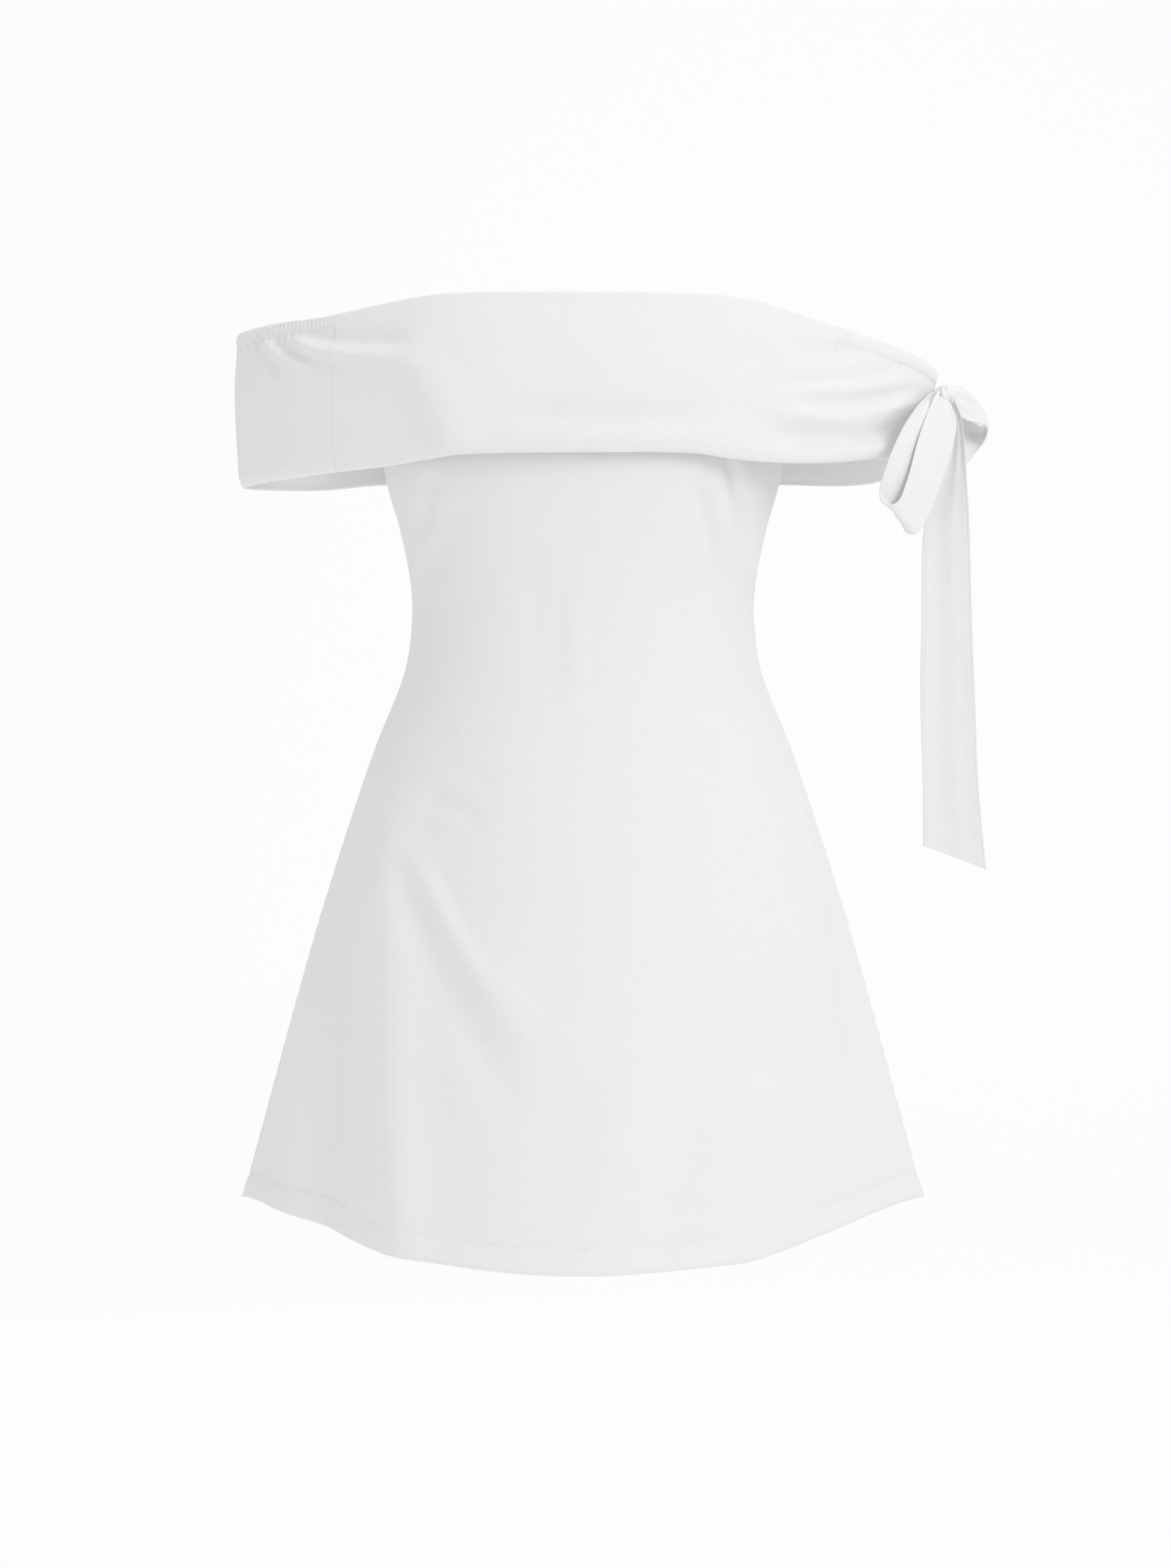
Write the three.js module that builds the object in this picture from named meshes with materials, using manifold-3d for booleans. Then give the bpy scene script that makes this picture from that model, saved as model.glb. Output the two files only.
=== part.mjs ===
// An off-shoulder mini dress, filled out as it is when worn, with a folded collar round the
// shoulders, an elastic at each shoulder and a bow tied at the wearer's left shoulder.
// Millimetres, +Z up. The front faces -Y and +X is the wearer's left. The origin is the centre
// of the torso at the bust line, where the wearer's chest holds the dress.
import * as THREE from "three";
import { mergeVertices } from "three/addons/utils/BufferGeometryUtils.js";
import Module from "manifold-3d";

const wasm = await Module();
wasm.setup();

// Driving dimensions.
const neckHeight = 80; // top of the collar's front over the bust line
const neckDepth = 112; // front of the collar at the neckline, from the body axis
const napeDepth = 92.6; // back of the collar at the neckline
const necklineTuck = 3; // how far the body's neckline lies below the collar's top fold
const underarmHeight = 5; // lowest point of each armhole
const armhole = { start: 0.3, end: 1.05 }; // shares of a quarter between which it falls
const hemHeight = -626; // hem at centre front
const hemSideRise = 25; // how much higher the hem is at the side seams
const clothWall = 1.6; // body panels, one layer of thick jersey
const collarWall = 2.2; // collar, cloth folded double
const seamGap = 0.3;
const casingHeight = 12.5; // cloth tunnel over the shoulder elastic
const casingGap = 0.5; // between the tunnel and the collar below it
const casingStart = 0.49; // share of the collar's quarter where the elastic begins
const notchWidth = 0.0007; // of the collar's quarter, about 0.3 mm along the cloth
const casingRibs = 28; // gathers along each shoulder elastic
const casingRibHeight = 0.9;
const tieWall = 1.5; // tie, a strip turned right side out and pressed
// The knot's half sizes, its place on the collar and how far it stands clear of it.
const knot = {
  alongX: 8,
  alongY: 8.5,
  alongZ: 9.5,
  height: 20,
  place: 0.94,
  clear: 0.7,
  sides: 14,
  rings: 9,
};
const clothColour = 0xf4f3f0;

// Body sections from the neckline to the hem. flat squares the panel off across the body, round
// fills it out at the side seam and tip, below 1, draws it in to a crease there.
const bodySections = [
  { z: neckHeight, half: 143, front: 109.1, back: 88.9, flat: 0.95, tip: 1, round: 0.6 },
  { z: 40, half: 149, front: 113, back: 90, flat: 0.86, tip: 1, round: 0.6 },
  { z: 0, half: 154, front: 118.5, back: 90, flat: 0.78, tip: 1, round: 0.6 },
  { z: -40, half: 153, front: 117, back: 86, flat: 0.74, tip: 1, round: 0.6 },
  { z: -82, half: 141.6, front: 107, back: 80, flat: 0.68, tip: 1, round: 0.6 },
  { z: -120, half: 134, front: 97, back: 76, flat: 0.62, tip: 1, round: 0.6 },
  { z: -151, half: 132.4, front: 92, back: 75, flat: 0.6, tip: 1, round: 0.58 },
  { z: -192, half: 138.3, front: 94, back: 82, flat: 0.6, tip: 1, round: 0.56 },
  { z: -247, half: 160, front: 104, back: 98, flat: 0.6, tip: 0.98, round: 0.5 },
  { z: -302, half: 179.3, front: 116, back: 112, flat: 0.6, tip: 0.96, round: 0.42 },
  { z: -385, half: 205.4, front: 132, back: 124, flat: 0.6, tip: 0.93, round: 0.34 },
  { z: -467, half: 228.5, front: 147, back: 134, flat: 0.6, tip: 0.9, round: 0.27 },
  { z: -550, half: 250.8, front: 160, back: 144, flat: 0.6, tip: 0.87, round: 0.22 },
  { z: hemHeight, half: 271.5, front: 171, back: 152, flat: 0.6, tip: 0.85, round: 0.2 },
];

// Collar sections from its top fold, share 0, to its bottom fold, share 1.
const collarPlan = { flat: 0.55, tip: 1, round: 0.25 };
const collarSections = [
  { share: 0, right: 267, left: 274, front: neckDepth, back: napeDepth },
  { share: 0.3, right: 270, left: 272, front: 121, back: 97 },
  { share: 0.65, right: 269, left: 267, front: 128.5, back: 99 },
  { share: 1, right: 266, left: 262, front: 129, back: 98 },
];

// Heights of the collar's two folds at each place across the front and the back.
const collarFrontEdges = [
  { x: -270, top: 69, bottom: -49.5 },
  { x: -230, top: 70.8, bottom: -48.2 },
  { x: -195, top: 71, bottom: -46.8 },
  { x: -150, top: 76.4, bottom: -45 },
  { x: -115, top: 80.2, bottom: -41.8 },
  { x: -84, top: 80.8, bottom: -39.6 },
  { x: 0, top: neckHeight, bottom: -38.6 },
  { x: 86, top: neckHeight, bottom: -39.6 },
  { x: 118, top: 78.8, bottom: -41 },
  { x: 145, top: 73.8, bottom: -41.8 },
  { x: 173, top: 66.8, bottom: -41 },
  { x: 202, top: 60.8, bottom: -38.2 },
  { x: 231, top: 54.4, bottom: -33.4 },
  { x: 258, top: 47.8, bottom: -32 },
  { x: 274, top: 41.5, bottom: -34 },
];
const collarBackEdges = [
  { x: -270, top: 69, bottom: -49.5 },
  { x: -210, top: 71, bottom: -45.3 },
  { x: -160, top: 72, bottom: -38.5 },
  { x: 0, top: 74, bottom: -36 },
  { x: 160, top: 70, bottom: -38 },
  { x: 234, top: 54, bottom: -42 },
  { x: 274, top: 41.5, bottom: -34 },
];

// Folds, each a soft ridge (high above 0) or trough (high below 0) along a curve through three
// points of the panel as seen from its own side. wide is its half width, at its start and end.
const skirtFrontFolds = [
  { x0: -135, z0: -255, x1: -130, z1: -440, x2: -122, z2: -700, wide: 22, wideEnd: 24, high: 7 },
  { x0: -164, z0: -275, x1: -182, z1: -430, x2: -157, z2: -620, wide: 12, wideEnd: 18, high: -8 },
  { x0: -196, z0: -400, x1: -208, z1: -510, x2: -218, z2: -640, wide: 13, wideEnd: 18, high: 4 },
  { x0: -136, z0: -312, x1: -92, z1: -402, x2: -10, z2: -546, wide: 9, wideEnd: 20, high: -5 },
  { x0: -128, z0: -298, x1: -78, z1: -390, x2: -5, z2: -462, wide: 12, wideEnd: 18, high: 4.5 },
  { x0: -124, z0: -284, x1: -97, z1: -295, x2: -66, z2: -312, wide: 7, wideEnd: 8, high: -2 },
  { x0: 148, z0: -255, x1: 171, z1: -362, x2: 192, z2: -520, wide: 9, wideEnd: 16, high: 4.5 },
  { x0: 176, z0: -340, x1: 200, z1: -435, x2: 216, z2: -560, wide: 10, wideEnd: 16, high: -4 },
  { x0: 100, z0: -405, x1: 92, z1: -505, x2: 58, z2: -640, wide: 22, wideEnd: 34, high: -5 },
  { x0: 128, z0: -480, x1: 138, z1: -550, x2: 150, z2: -640, wide: 18, wideEnd: 22, high: 4 },
  { x0: 40, z0: -261, x1: 78, z1: -266, x2: 120, z2: -266, wide: 9, wideEnd: 9, high: -1.6 },
];
const bodiceFrontFolds = [
  { x0: 90, z0: -52, x1: 102, z1: -97, x2: 117, z2: -138, wide: 6, wideEnd: 8, high: -3.4 },
  { x0: 99, z0: -44, x1: 111, z1: -84, x2: 125, z2: -124, wide: 6, wideEnd: 7, high: 2.4 },
  { x0: 109, z0: -34, x1: 118, z1: -67, x2: 127, z2: -102, wide: 6, wideEnd: 6, high: -3 },
  { x0: -111, z0: -42, x1: -117, z1: -70, x2: -124, z2: -98, wide: 6, wideEnd: 6, high: -2.6 },
  { x0: -82, z0: -64, x1: -105, z1: -100, x2: -126, z2: -138, wide: 8, wideEnd: 9, high: -2.4 },
  { x0: -36, z0: -110, x1: -34, z1: -160, x2: -40, z2: -220, wide: 12, wideEnd: 12, high: -1.2 },
];
const skirtBackFolds = [
  { x0: -128, z0: -270, x1: -134, z1: -440, x2: -122, z2: -640, wide: 24, wideEnd: 30, high: 7 },
  { x0: -165, z0: -310, x1: -184, z1: -450, x2: -172, z2: -640, wide: 12, wideEnd: 18, high: -6 },
  { x0: 120, z0: -290, x1: 128, z1: -440, x2: 132, z2: -640, wide: 22, wideEnd: 28, high: 7 },
  { x0: 160, z0: -300, x1: 178, z1: -450, x2: 176, z2: -640, wide: 12, wideEnd: 18, high: -6 },
  { x0: 24, z0: -330, x1: 14, z1: -480, x2: 20, z2: -640, wide: 24, wideEnd: 36, high: -5 },
  { x0: -60, z0: -290, x1: -54, z1: -420, x2: -66, z2: -560, wide: 16, wideEnd: 24, high: -3 },
  { x0: -40, z0: -120, x1: 0, z1: -136, x2: 44, z2: -128, wide: 9, wideEnd: 9, high: -2.4 },
  { x0: -52, z0: -150, x1: 0, z1: -168, x2: 50, z2: -156, wide: 9, wideEnd: 9, high: -2 },
];
const collarFrontFolds = [
  { x0: -226, z0: 60, x1: -169, z1: 47, x2: -104, z2: 40, wide: 6, wideEnd: 10, high: 4 },
  { x0: -206, z0: 62, x1: -168, z1: 58, x2: -112, z2: 55, wide: 6, wideEnd: 9, high: -2.6 },
  { x0: -240, z0: 66, x1: -231, z1: 49, x2: -196, z2: 28, wide: 5, wideEnd: 8, high: 3.2 },
  { x0: -234, z0: 62, x1: -223, z1: 51, x2: -190, z2: 38, wide: 5, wideEnd: 8, high: -2.4 },
  { x0: -252, z0: 62, x1: -249, z1: 50, x2: -238, z2: 30, wide: 5, wideEnd: 6, high: -2.2 },
  { x0: -118, z0: 28, x1: -110, z1: 0, x2: -104, z2: -30, wide: 16, wideEnd: 18, high: 3.5 },
  { x0: 262, z0: 15, x1: 205, z1: -8, x2: 128, z2: -10, wide: 8, wideEnd: 12, high: -6 },
  { x0: 262, z0: 22, x1: 205, z1: 5, x2: 140, z2: 0, wide: 7, wideEnd: 10, high: 3.5 },
  { x0: 258, z0: 33, x1: 202, z1: 19, x2: 150, z2: 9, wide: 6, wideEnd: 10, high: -3.2 },
  { x0: 250, z0: 44, x1: 200, z1: 32, x2: 130, z2: 23, wide: 5, wideEnd: 9, high: -2.2 },
  { x0: 214, z0: 54, x1: 180, z1: 46, x2: 145, z2: 46, wide: 6, wideEnd: 8, high: -1.8 },
  { x0: 240, z0: -16, x1: 205, z1: -24, x2: 150, z2: -26, wide: 10, wideEnd: 12, high: 4 },
  { x0: -70, z0: -11, x1: 19, z1: -12.5, x2: 104, z2: -10, wide: 10, wideEnd: 10, high: -2 },
];
const collarBackFolds = [
  { x0: -240, z0: 62, x1: -190, z1: 46, x2: -120, z2: 38, wide: 7, wideEnd: 11, high: 3.5 },
  { x0: -228, z0: 52, x1: -190, z1: 26, x2: -140, z2: 12, wide: 7, wideEnd: 11, high: -2.6 },
  { x0: 258, z0: 20, x1: 205, z1: 2, x2: 130, z2: -2, wide: 8, wideEnd: 12, high: -4 },
  { x0: 254, z0: 36, x1: 200, z1: 24, x2: 130, z2: 16, wide: 7, wideEnd: 11, high: 3 },
  { x0: -80, z0: 20, x1: 0, z1: 10, x2: 80, z2: 18, wide: 11, wideEnd: 11, high: -2 },
];

// The bow's strips, each through rows that give its two long edges, a and b.
const frontLoopRows = [
  { ax: 272, ay: -14, az: 24, bx: 276, by: -12, bz: 15 },
  { ax: 265.5, ay: -26, az: 20.5, bx: 271.5, by: -17, bz: 8 },
  { ax: 254, ay: -39, az: 9, bx: 266.5, by: -25, bz: -7 },
  { ax: 241.5, ay: -53, az: -9, bx: 259, by: -34, bz: -29 },
  { ax: 232, ay: -63, az: -28, bx: 252.5, by: -40, bz: -51 },
  { ax: 225.5, ay: -66, az: -45, bx: 246.5, by: -43, bz: -70 },
  { ax: 222, ay: -69, az: -59, bx: 242, by: -48, bz: -83 },
  { ax: 224, ay: -75, az: -67, bx: 246, by: -53, bz: -88 },
  { ax: 230, ay: -81, az: -69, bx: 253, by: -56, bz: -86 },
  { ax: 237, ay: -84, az: -65, bx: 259.5, by: -57, bz: -77 },
  { ax: 242, ay: -83, az: -53, bx: 266, by: -54, bz: -63 },
  { ax: 247, ay: -78, az: -38, bx: 273.5, by: -49, bz: -44 },
  { ax: 253, ay: -67, az: -18, bx: 280, by: -43, bz: -25 },
  { ax: 261, ay: -49, az: 2, bx: 284.5, by: -34, bz: -4 },
  { ax: 268, ay: -31, az: 17, bx: 282, by: -26, bz: 9 },
  { ax: 273, ay: -18, az: 24, bx: 279, by: -17, bz: 17 },
];
const backLoopRows = [
  { ax: 284, ay: -8, az: 17, bx: 281, by: -5, bz: 26 },
  { ax: 290, ay: -4, az: 9, bx: 289, by: 4, bz: 31.5 },
  { ax: 298, ay: 3, az: 4.5, bx: 298, by: 15, bz: 32 },
  { ax: 309, ay: 15, az: 4, bx: 309, by: 32, bz: 26.5 },
  { ax: 317, ay: 27, az: 3.5, bx: 318, by: 47, bz: 18.5 },
  { ax: 319.5, ay: 35, az: 0, bx: 322, by: 57, bz: 11 },
  { ax: 317.5, ay: 40, az: -7, bx: 319, by: 62, bz: 7 },
  { ax: 311, ay: 39, az: -16, bx: 310, by: 57, bz: 6 },
  { ax: 302, ay: 30, az: -25, bx: 299, by: 42, bz: 8 },
  { ax: 293, ay: 16, az: -16, bx: 290, by: 24, bz: 13 },
  { ax: 287, ay: 5, az: 4, bx: 284, by: 8, bz: 18 },
  { ax: 281, ay: -4, az: 18, bx: 280, by: -3, bz: 23 },
];
const frontTailRows = [
  { ax: 280, ay: -11, az: 16, bx: 285, by: -13, bz: 20 },
  { ax: 282, ay: -12.5, az: 2, bx: 291, by: -14.5, bz: 5 },
  { ax: 281, ay: -12.5, az: -15, bx: 294, by: -15, bz: -20 },
  { ax: 273, ay: -12.5, az: -42, bx: 295.8, by: -15, bz: -48 },
  { ax: 262.5, ay: -12, az: -82, bx: 297.8, by: -15, bz: -84 },
  { ax: 260.6, ay: -12, az: -165, bx: 300, by: -15, bz: -165 },
  { ax: 260.1, ay: -11, az: -210, bx: 302, by: -15, bz: -215 },
  { ax: 261.8, ay: -11, az: -270, bx: 304.5, by: -15, bz: -278 },
  { ax: 262.3, ay: -11.5, az: -326, bx: 310.4, by: -15, bz: -344 },
];
const backTailRows = [
  { ax: 277, ay: -7, az: 14, bx: 281, by: -7, bz: 14 },
  { ax: 279, ay: -5, az: 2, bx: 287, by: -5, bz: 3 },
  { ax: 278, ay: 0, az: -15, bx: 291, by: -2, bz: -18 },
  { ax: 272, ay: 0, az: -45, bx: 292.5, by: -3, bz: -48 },
  { ax: 266, ay: -1, az: -90, bx: 293.5, by: -4, bz: -92 },
  { ax: 265, ay: -2, az: -160, bx: 295.5, by: -5, bz: -160 },
  { ax: 266, ay: -2, az: -230, bx: 298, by: -4, bz: -232 },
  { ax: 266.5, ay: -1, az: -292, bx: 301, by: -3, bz: -306 },
];

// A column of a table at a value of its axis column, on a smooth curve through the rows.
function read(table, axis, value, column) {
  const climbs = table[table.length - 1][axis] > table[0][axis];
  let i = 0;
  while (i < table.length - 2 && value > table[i + 1][axis] === climbs) i++;
  const slope = (k) => {
    const before = table[Math.max(k - 1, 0)];
    const after = table[Math.min(k + 1, table.length - 1)];
    return (after[column] - before[column]) / (after[axis] - before[axis]);
  };
  const [low, high] = [table[i], table[i + 1]];
  const step = high[axis] - low[axis];
  const u = THREE.MathUtils.clamp((value - low[axis]) / step, 0, 1);
  const rise = high[column] - low[column];
  const bend = (slope(i) * step - rise) * (1 - u) - (slope(i + 1) * step - rise) * u;
  return low[column] + rise * u + u * (1 - u) * bend;
}

// One quarter of a section, from its centre line (share 0) to its side (share 1).
function quarter(share, { flat, tip, round }) {
  const u = Math.abs(share);
  const k = 1 - u;
  const across = 3 * k * k * u * flat + 3 * k * u * u * tip + u * u * u;
  const out = k * k * k + 3 * k * k * u + 3 * k * u * u * round;
  return { across: Math.sign(share) * across, out };
}

const foldSteps = 10; // straight stretches that stand for a fold's curve
const foldFade = 0.3; // share of a fold's length over which it rises and dies away

// How far the folds of a list lift the cloth at a place seen from the panel's own side.
function foldLift(folds, x, z) {
  let lift = 0;
  for (const f of folds) {
    const turnX = 2 * f.x1 - (f.x0 + f.x2) / 2;
    const turnZ = 2 * f.z1 - (f.z0 + f.z2) / 2;
    const at = (u) => [
      (1 - u) ** 2 * f.x0 + 2 * u * (1 - u) * turnX + u * u * f.x2,
      (1 - u) ** 2 * f.z0 + 2 * u * (1 - u) * turnZ + u * u * f.z2,
    ];
    let nearest = Infinity;
    let along = 0;
    for (let i = 0; i < foldSteps; i++) {
      const [ax, az] = at(i / foldSteps);
      const [bx, bz] = at((i + 1) / foldSteps);
      const length = (bx - ax) ** 2 + (bz - az) ** 2;
      const share = ((x - ax) * (bx - ax) + (z - az) * (bz - az)) / length;
      const s = THREE.MathUtils.clamp(share, 0, 1);
      const gap = Math.hypot(x - ax - s * (bx - ax), z - az - s * (bz - az));
      if (gap < nearest) {
        nearest = gap;
        along = (i + s) / foldSteps;
      }
    }
    const wide = f.wide + (f.wideEnd - f.wide) * along;
    const fade = THREE.MathUtils.smoothstep(Math.min(along, 1 - along), 0, foldFade);
    lift += f.high * fade * Math.exp(-((nearest / wide) ** 2));
  }
  return lift;
}

const shareStep = 1e-3;
const heightStep = 0.5;

// The normal of a surface given by a function of two parameters.
function normalOf(surface, u, v, stepU, stepV) {
  const alongU = surface(u + stepU, v).sub(surface(u - stepU, v));
  const alongV = surface(u, v + stepV).sub(surface(u, v - stepV));
  return alongU.cross(alongV).normalize();
}

// A panel's normal kept level, so that edges stay at the height that they are given.
function levelNormal(surface, share, z) {
  return normalOf(surface, share, z, shareStep, heightStep).setZ(0).normalize();
}

// The step through a panel's wall. At a side seam it runs straight across the body, so that
// the panel ends in the seam's own plane.
function wallStep(surface, side, share, z) {
  const normal = levelNormal(surface, share, z).multiplyScalar(-side);
  return Math.abs(share) === 1 ? normal.set(1 / normal.x, 0, 0) : normal;
}

const seamFade = 0.14; // share of a quarter over which folds die away towards a side seam

// A panel's surface: a plain form, lifted by folds that die away at its side seams.
function folded(plain, folds, side) {
  return (share, z) => {
    const point = plain(share, z);
    const edge = THREE.MathUtils.smoothstep(1 - Math.abs(share), 0, seamFade);
    const lift = edge * foldLift(folds, point.x, z);
    const normal = levelNormal(plain, share, z);
    return point.addScaledVector(normal, -side * lift);
  };
}

// side is -1 for the front and 1 for the back.
function bodyForm(side) {
  return (share, z) => {
    const at = (column) => read(bodySections, "z", z, column);
    const plan = quarter(share, { flat: at("flat"), tip: at("tip"), round: at("round") });
    const depth = at(side < 0 ? "front" : "back") * plan.out;
    return new THREE.Vector3(at("half") * plan.across, side * (depth + seamGap / 2), z);
  };
}

function collarEdge(side, share, edge) {
  const half = share < 0 ? collarSections[0].right : collarSections[0].left;
  const x = half * quarter(share, collarPlan).across;
  return read(side < 0 ? collarFrontEdges : collarBackEdges, "x", x, edge);
}

// join is how far the half of the collar stands from its side seams.
function collarForm(side, join) {
  return (share, z) => {
    const top = collarEdge(side, share, "top");
    const bottom = collarEdge(side, share, "bottom");
    const down = (top - z) / (top - bottom);
    const at = (column) => read(collarSections, "share", down, column);
    const plan = quarter(share, collarPlan);
    const half = at(share < 0 ? "right" : "left");
    const depth = at(side < 0 ? "front" : "back") * plan.out;
    return new THREE.Vector3(half * plan.across, side * (depth + join), z);
  };
}

// A closed wall from rows of outer points and the matching inner points.
function wall(outer, inner) {
  const rows = outer.length;
  const columns = outer[0].length;
  const points = [...outer.flat(), ...inner.flat()];
  const id = (layer, i, j) => layer * rows * columns + i * columns + j;
  const index = [];
  const quad = (a, b, c, d) => index.push(a, b, c, a, c, d);
  for (let i = 0; i < rows - 1; i++) {
    for (let j = 0; j < columns - 1; j++) {
      quad(id(0, i, j), id(0, i, j + 1), id(0, i + 1, j + 1), id(0, i + 1, j));
      quad(id(1, i, j), id(1, i + 1, j), id(1, i + 1, j + 1), id(1, i, j + 1));
    }
    quad(id(0, i, 0), id(0, i + 1, 0), id(1, i + 1, 0), id(1, i, 0));
    const last = columns - 1;
    quad(id(0, i + 1, last), id(0, i, last), id(1, i, last), id(1, i + 1, last));
  }
  for (let j = 0; j < columns - 1; j++) {
    const last = rows - 1;
    quad(id(0, 0, j + 1), id(0, 0, j), id(1, 0, j), id(1, 0, j + 1));
    quad(id(0, last, j), id(0, last, j + 1), id(1, last, j + 1), id(1, last, j));
  }
  let volume = 0;
  for (let i = 0; i < index.length; i += 3) {
    const [a, b, c] = [points[index[i]], points[index[i + 1]], points[index[i + 2]]];
    volume += a.dot(b.clone().cross(c));
  }
  if (volume < 0) index.reverse();
  const geometry = new THREE.BufferGeometry().setFromPoints(points);
  return geometry.setIndex(index);
}

// A wall over a surface between two boundaries, each a function of the share across.
function panel(surface, side, shares, rowCount, top, bottom, thickness) {
  const outer = [];
  const inner = [];
  for (let i = 0; i <= rowCount; i++) {
    const heights = shares.map((s) => top(s) + ((bottom(s) - top(s)) * i) / rowCount);
    outer.push(shares.map((s, j) => surface(s, heights[j])));
    inner.push(
      shares.map((s, j) => {
        const step = wallStep(surface, side, s, heights[j]);
        return surface(s, heights[j]).addScaledVector(step, -thickness);
      }),
    );
  }
  return wall(outer, inner);
}

const evenShares = (count) => Array.from({ length: count + 1 }, (_, i) => (2 * i) / count - 1);

function bodyPanel(side, folds, columns, rows) {
  const surface = folded(bodyForm(side), folds, side);
  const neckline = neckHeight - necklineTuck;
  const top = (s) => {
    const fall = THREE.MathUtils.smoothstep(Math.abs(s), armhole.start, armhole.end);
    return neckline - fall * (neckline - underarmHeight);
  };
  const hemPlan = bodySections[bodySections.length - 1];
  const rise = (s) => Math.sin(((1 - quarter(s, hemPlan).out) * Math.PI) / 2);
  const bottom = (s) => hemHeight + hemSideRise * rise(s);
  return panel(surface, side, evenShares(columns), rows, top, bottom, clothWall);
}

function collarPanel(side, folds, columns, rows) {
  const surface = folded(collarForm(side, seamGap / 2), folds, side);
  const top = (s) => {
    const notch = Math.abs(s) > casingStart ? casingHeight + casingGap : 0;
    return collarEdge(side, s, "top") - notch;
  };
  const steps = [casingStart, casingStart + notchWidth];
  const shares = [...evenShares(columns), ...steps, ...steps.map((s) => -s)].sort((a, b) => a - b);
  const bottom = (s) => collarEdge(side, s, "bottom");
  return panel(surface, side, shares, rows, top, bottom, collarWall);
}

const stepsPerRib = 4;
const casingSamples = 400; // places where the tunnel's length is measured

// The ribbed tunnel over one shoulder's elastic, from the front of the arm round to the back.
// arm is -1 at the wearer's right shoulder and 1 at the left.
function shoulderCasing(arm) {
  const forms = { front: collarForm(-1, 0), back: collarForm(1, 0) };
  const endGap = 3 * notchWidth;
  const reach = 1 - casingStart - endGap;
  const side = (s) => (s < 0 ? -1 : 1);
  const share = (s) => arm * (1 - Math.abs(s) * reach);
  const surface = (s, drop) => {
    const form = s < 0 ? forms.front : forms.back;
    return form(share(s), collarEdge(side(s), share(s), "top") - drop);
  };
  const samples = evenShares(casingSamples);
  const lengths = [0];
  for (let i = 1; i < samples.length; i++) {
    const step = surface(samples[i], 0).distanceTo(surface(samples[i - 1], 0));
    lengths.push(lengths[i - 1] + step);
  }
  const count = casingRibs * stepsPerRib;
  const outer = [[], []];
  const inner = [[], []];
  for (let j = 0, i = 1; j <= count; j++) {
    const target = (lengths[lengths.length - 1] * j) / count;
    while (i < samples.length - 1 && lengths[i] < target) i++;
    const part = (target - lengths[i - 1]) / (lengths[i] - lengths[i - 1]);
    const s = samples[i - 1] + part * (samples[i] - samples[i - 1]);
    const rib = casingRibHeight * (0.5 - 0.5 * Math.cos((2 * Math.PI * j) / stepsPerRib));
    [0, casingHeight].forEach((drop, row) => {
      const point = surface(s, drop);
      const normal = levelNormal(surface, s, drop);
      if (normal.x * arm < 0) normal.negate();
      outer[row].push(point.clone().addScaledVector(normal, rib));
      inner[row].push(point.clone().addScaledVector(normal, -collarWall));
    });
  }
  return wall(outer, inner);
}

const acrossStep = 0.01;

// A strip of the tie between its two long edges, cambered across its width.
function strip(rows, steps, across, camber) {
  const curve = (edge) =>
    new THREE.CatmullRomCurve3(
      rows.map((r) => new THREE.Vector3(r[edge + "x"], r[edge + "y"], r[edge + "z"])),
      false,
      "catmullrom",
      0.5,
    );
  const [a, b] = [curve("a"), curve("b")];
  const surface = (u, v) => a.getPoint(u).lerp(b.getPoint(u), v);
  const inside = (value, step) => THREE.MathUtils.clamp(value, step, 1 - step);
  const outer = [];
  const inner = [];
  for (let i = 0; i <= steps; i++) {
    const u = i / steps;
    const line = Array.from({ length: across + 1 }, (_, j) => {
      const v = j / across;
      const [nearU, nearV] = [inside(u, shareStep), inside(v, acrossStep)];
      const normal = normalOf(surface, nearU, nearV, shareStep, acrossStep);
      return { normal, point: surface(u, v).addScaledVector(normal, camber * 4 * v * (1 - v)) };
    });
    outer.push(line.map((p) => p.point.clone().addScaledVector(p.normal, tieWall / 2)));
    inner.push(line.map((p) => p.point.clone().addScaledVector(p.normal, -tieWall / 2)));
  }
  return wall(outer, inner);
}

const weldDistance = 1e-4;

function solidOf(geometry) {
  const bare = geometry.clone();
  bare.deleteAttribute("normal");
  bare.deleteAttribute("uv");
  const merged = mergeVertices(bare, weldDistance);
  return new wasm.Manifold(
    new wasm.Mesh({
      numProp: 3,
      vertProperties: merged.attributes.position.array,
      triVerts: new Uint32Array(merged.index.array),
    }),
  );
}

function geometryOf(solid) {
  const mesh = solid.getMesh();
  return new THREE.BufferGeometry()
    .setAttribute("position", new THREE.BufferAttribute(mesh.vertProperties, 3))
    .setIndex(new THREE.BufferAttribute(mesh.triVerts, 1));
}

// The knot sits on the outside of the collar at the wearer's left shoulder.
function knotCentre() {
  const form = collarForm(-1, 0);
  const normal = levelNormal(form, knot.place, knot.height);
  const point = form(knot.place, knot.height);
  return point.addScaledVector(normal, knot.alongX + knot.clear);
}

function knotLump(grow) {
  const lump = new THREE.SphereGeometry(1, knot.sides, knot.rings);
  lump.rotateX(Math.PI / 2);
  lump.scale(knot.alongX + grow, knot.alongY + grow, knot.alongZ + grow);
  const centre = knotCentre();
  return lump.translate(centre.x, centre.y, centre.z);
}

const knotClearance = solidOf(knotLump(seamGap));

// A strip of the tie, stopped just short of the knot.
function tieStrip(rows, steps, across, camber) {
  const cut = solidOf(strip(rows, steps, across, camber)).subtract(knotClearance);
  const pieces = cut.decompose().sort((a, b) => b.volume() - a.volume());
  return geometryOf(pieces[0]);
}

const dress = new THREE.Group();
const cloth = new THREE.MeshStandardMaterial({ color: clothColour, roughness: 0.85, metalness: 0 });

function add(name, geometry) {
  const mesh = new THREE.Mesh(geometry, cloth.clone());
  mesh.name = name;
  dress.add(mesh);
}

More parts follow.
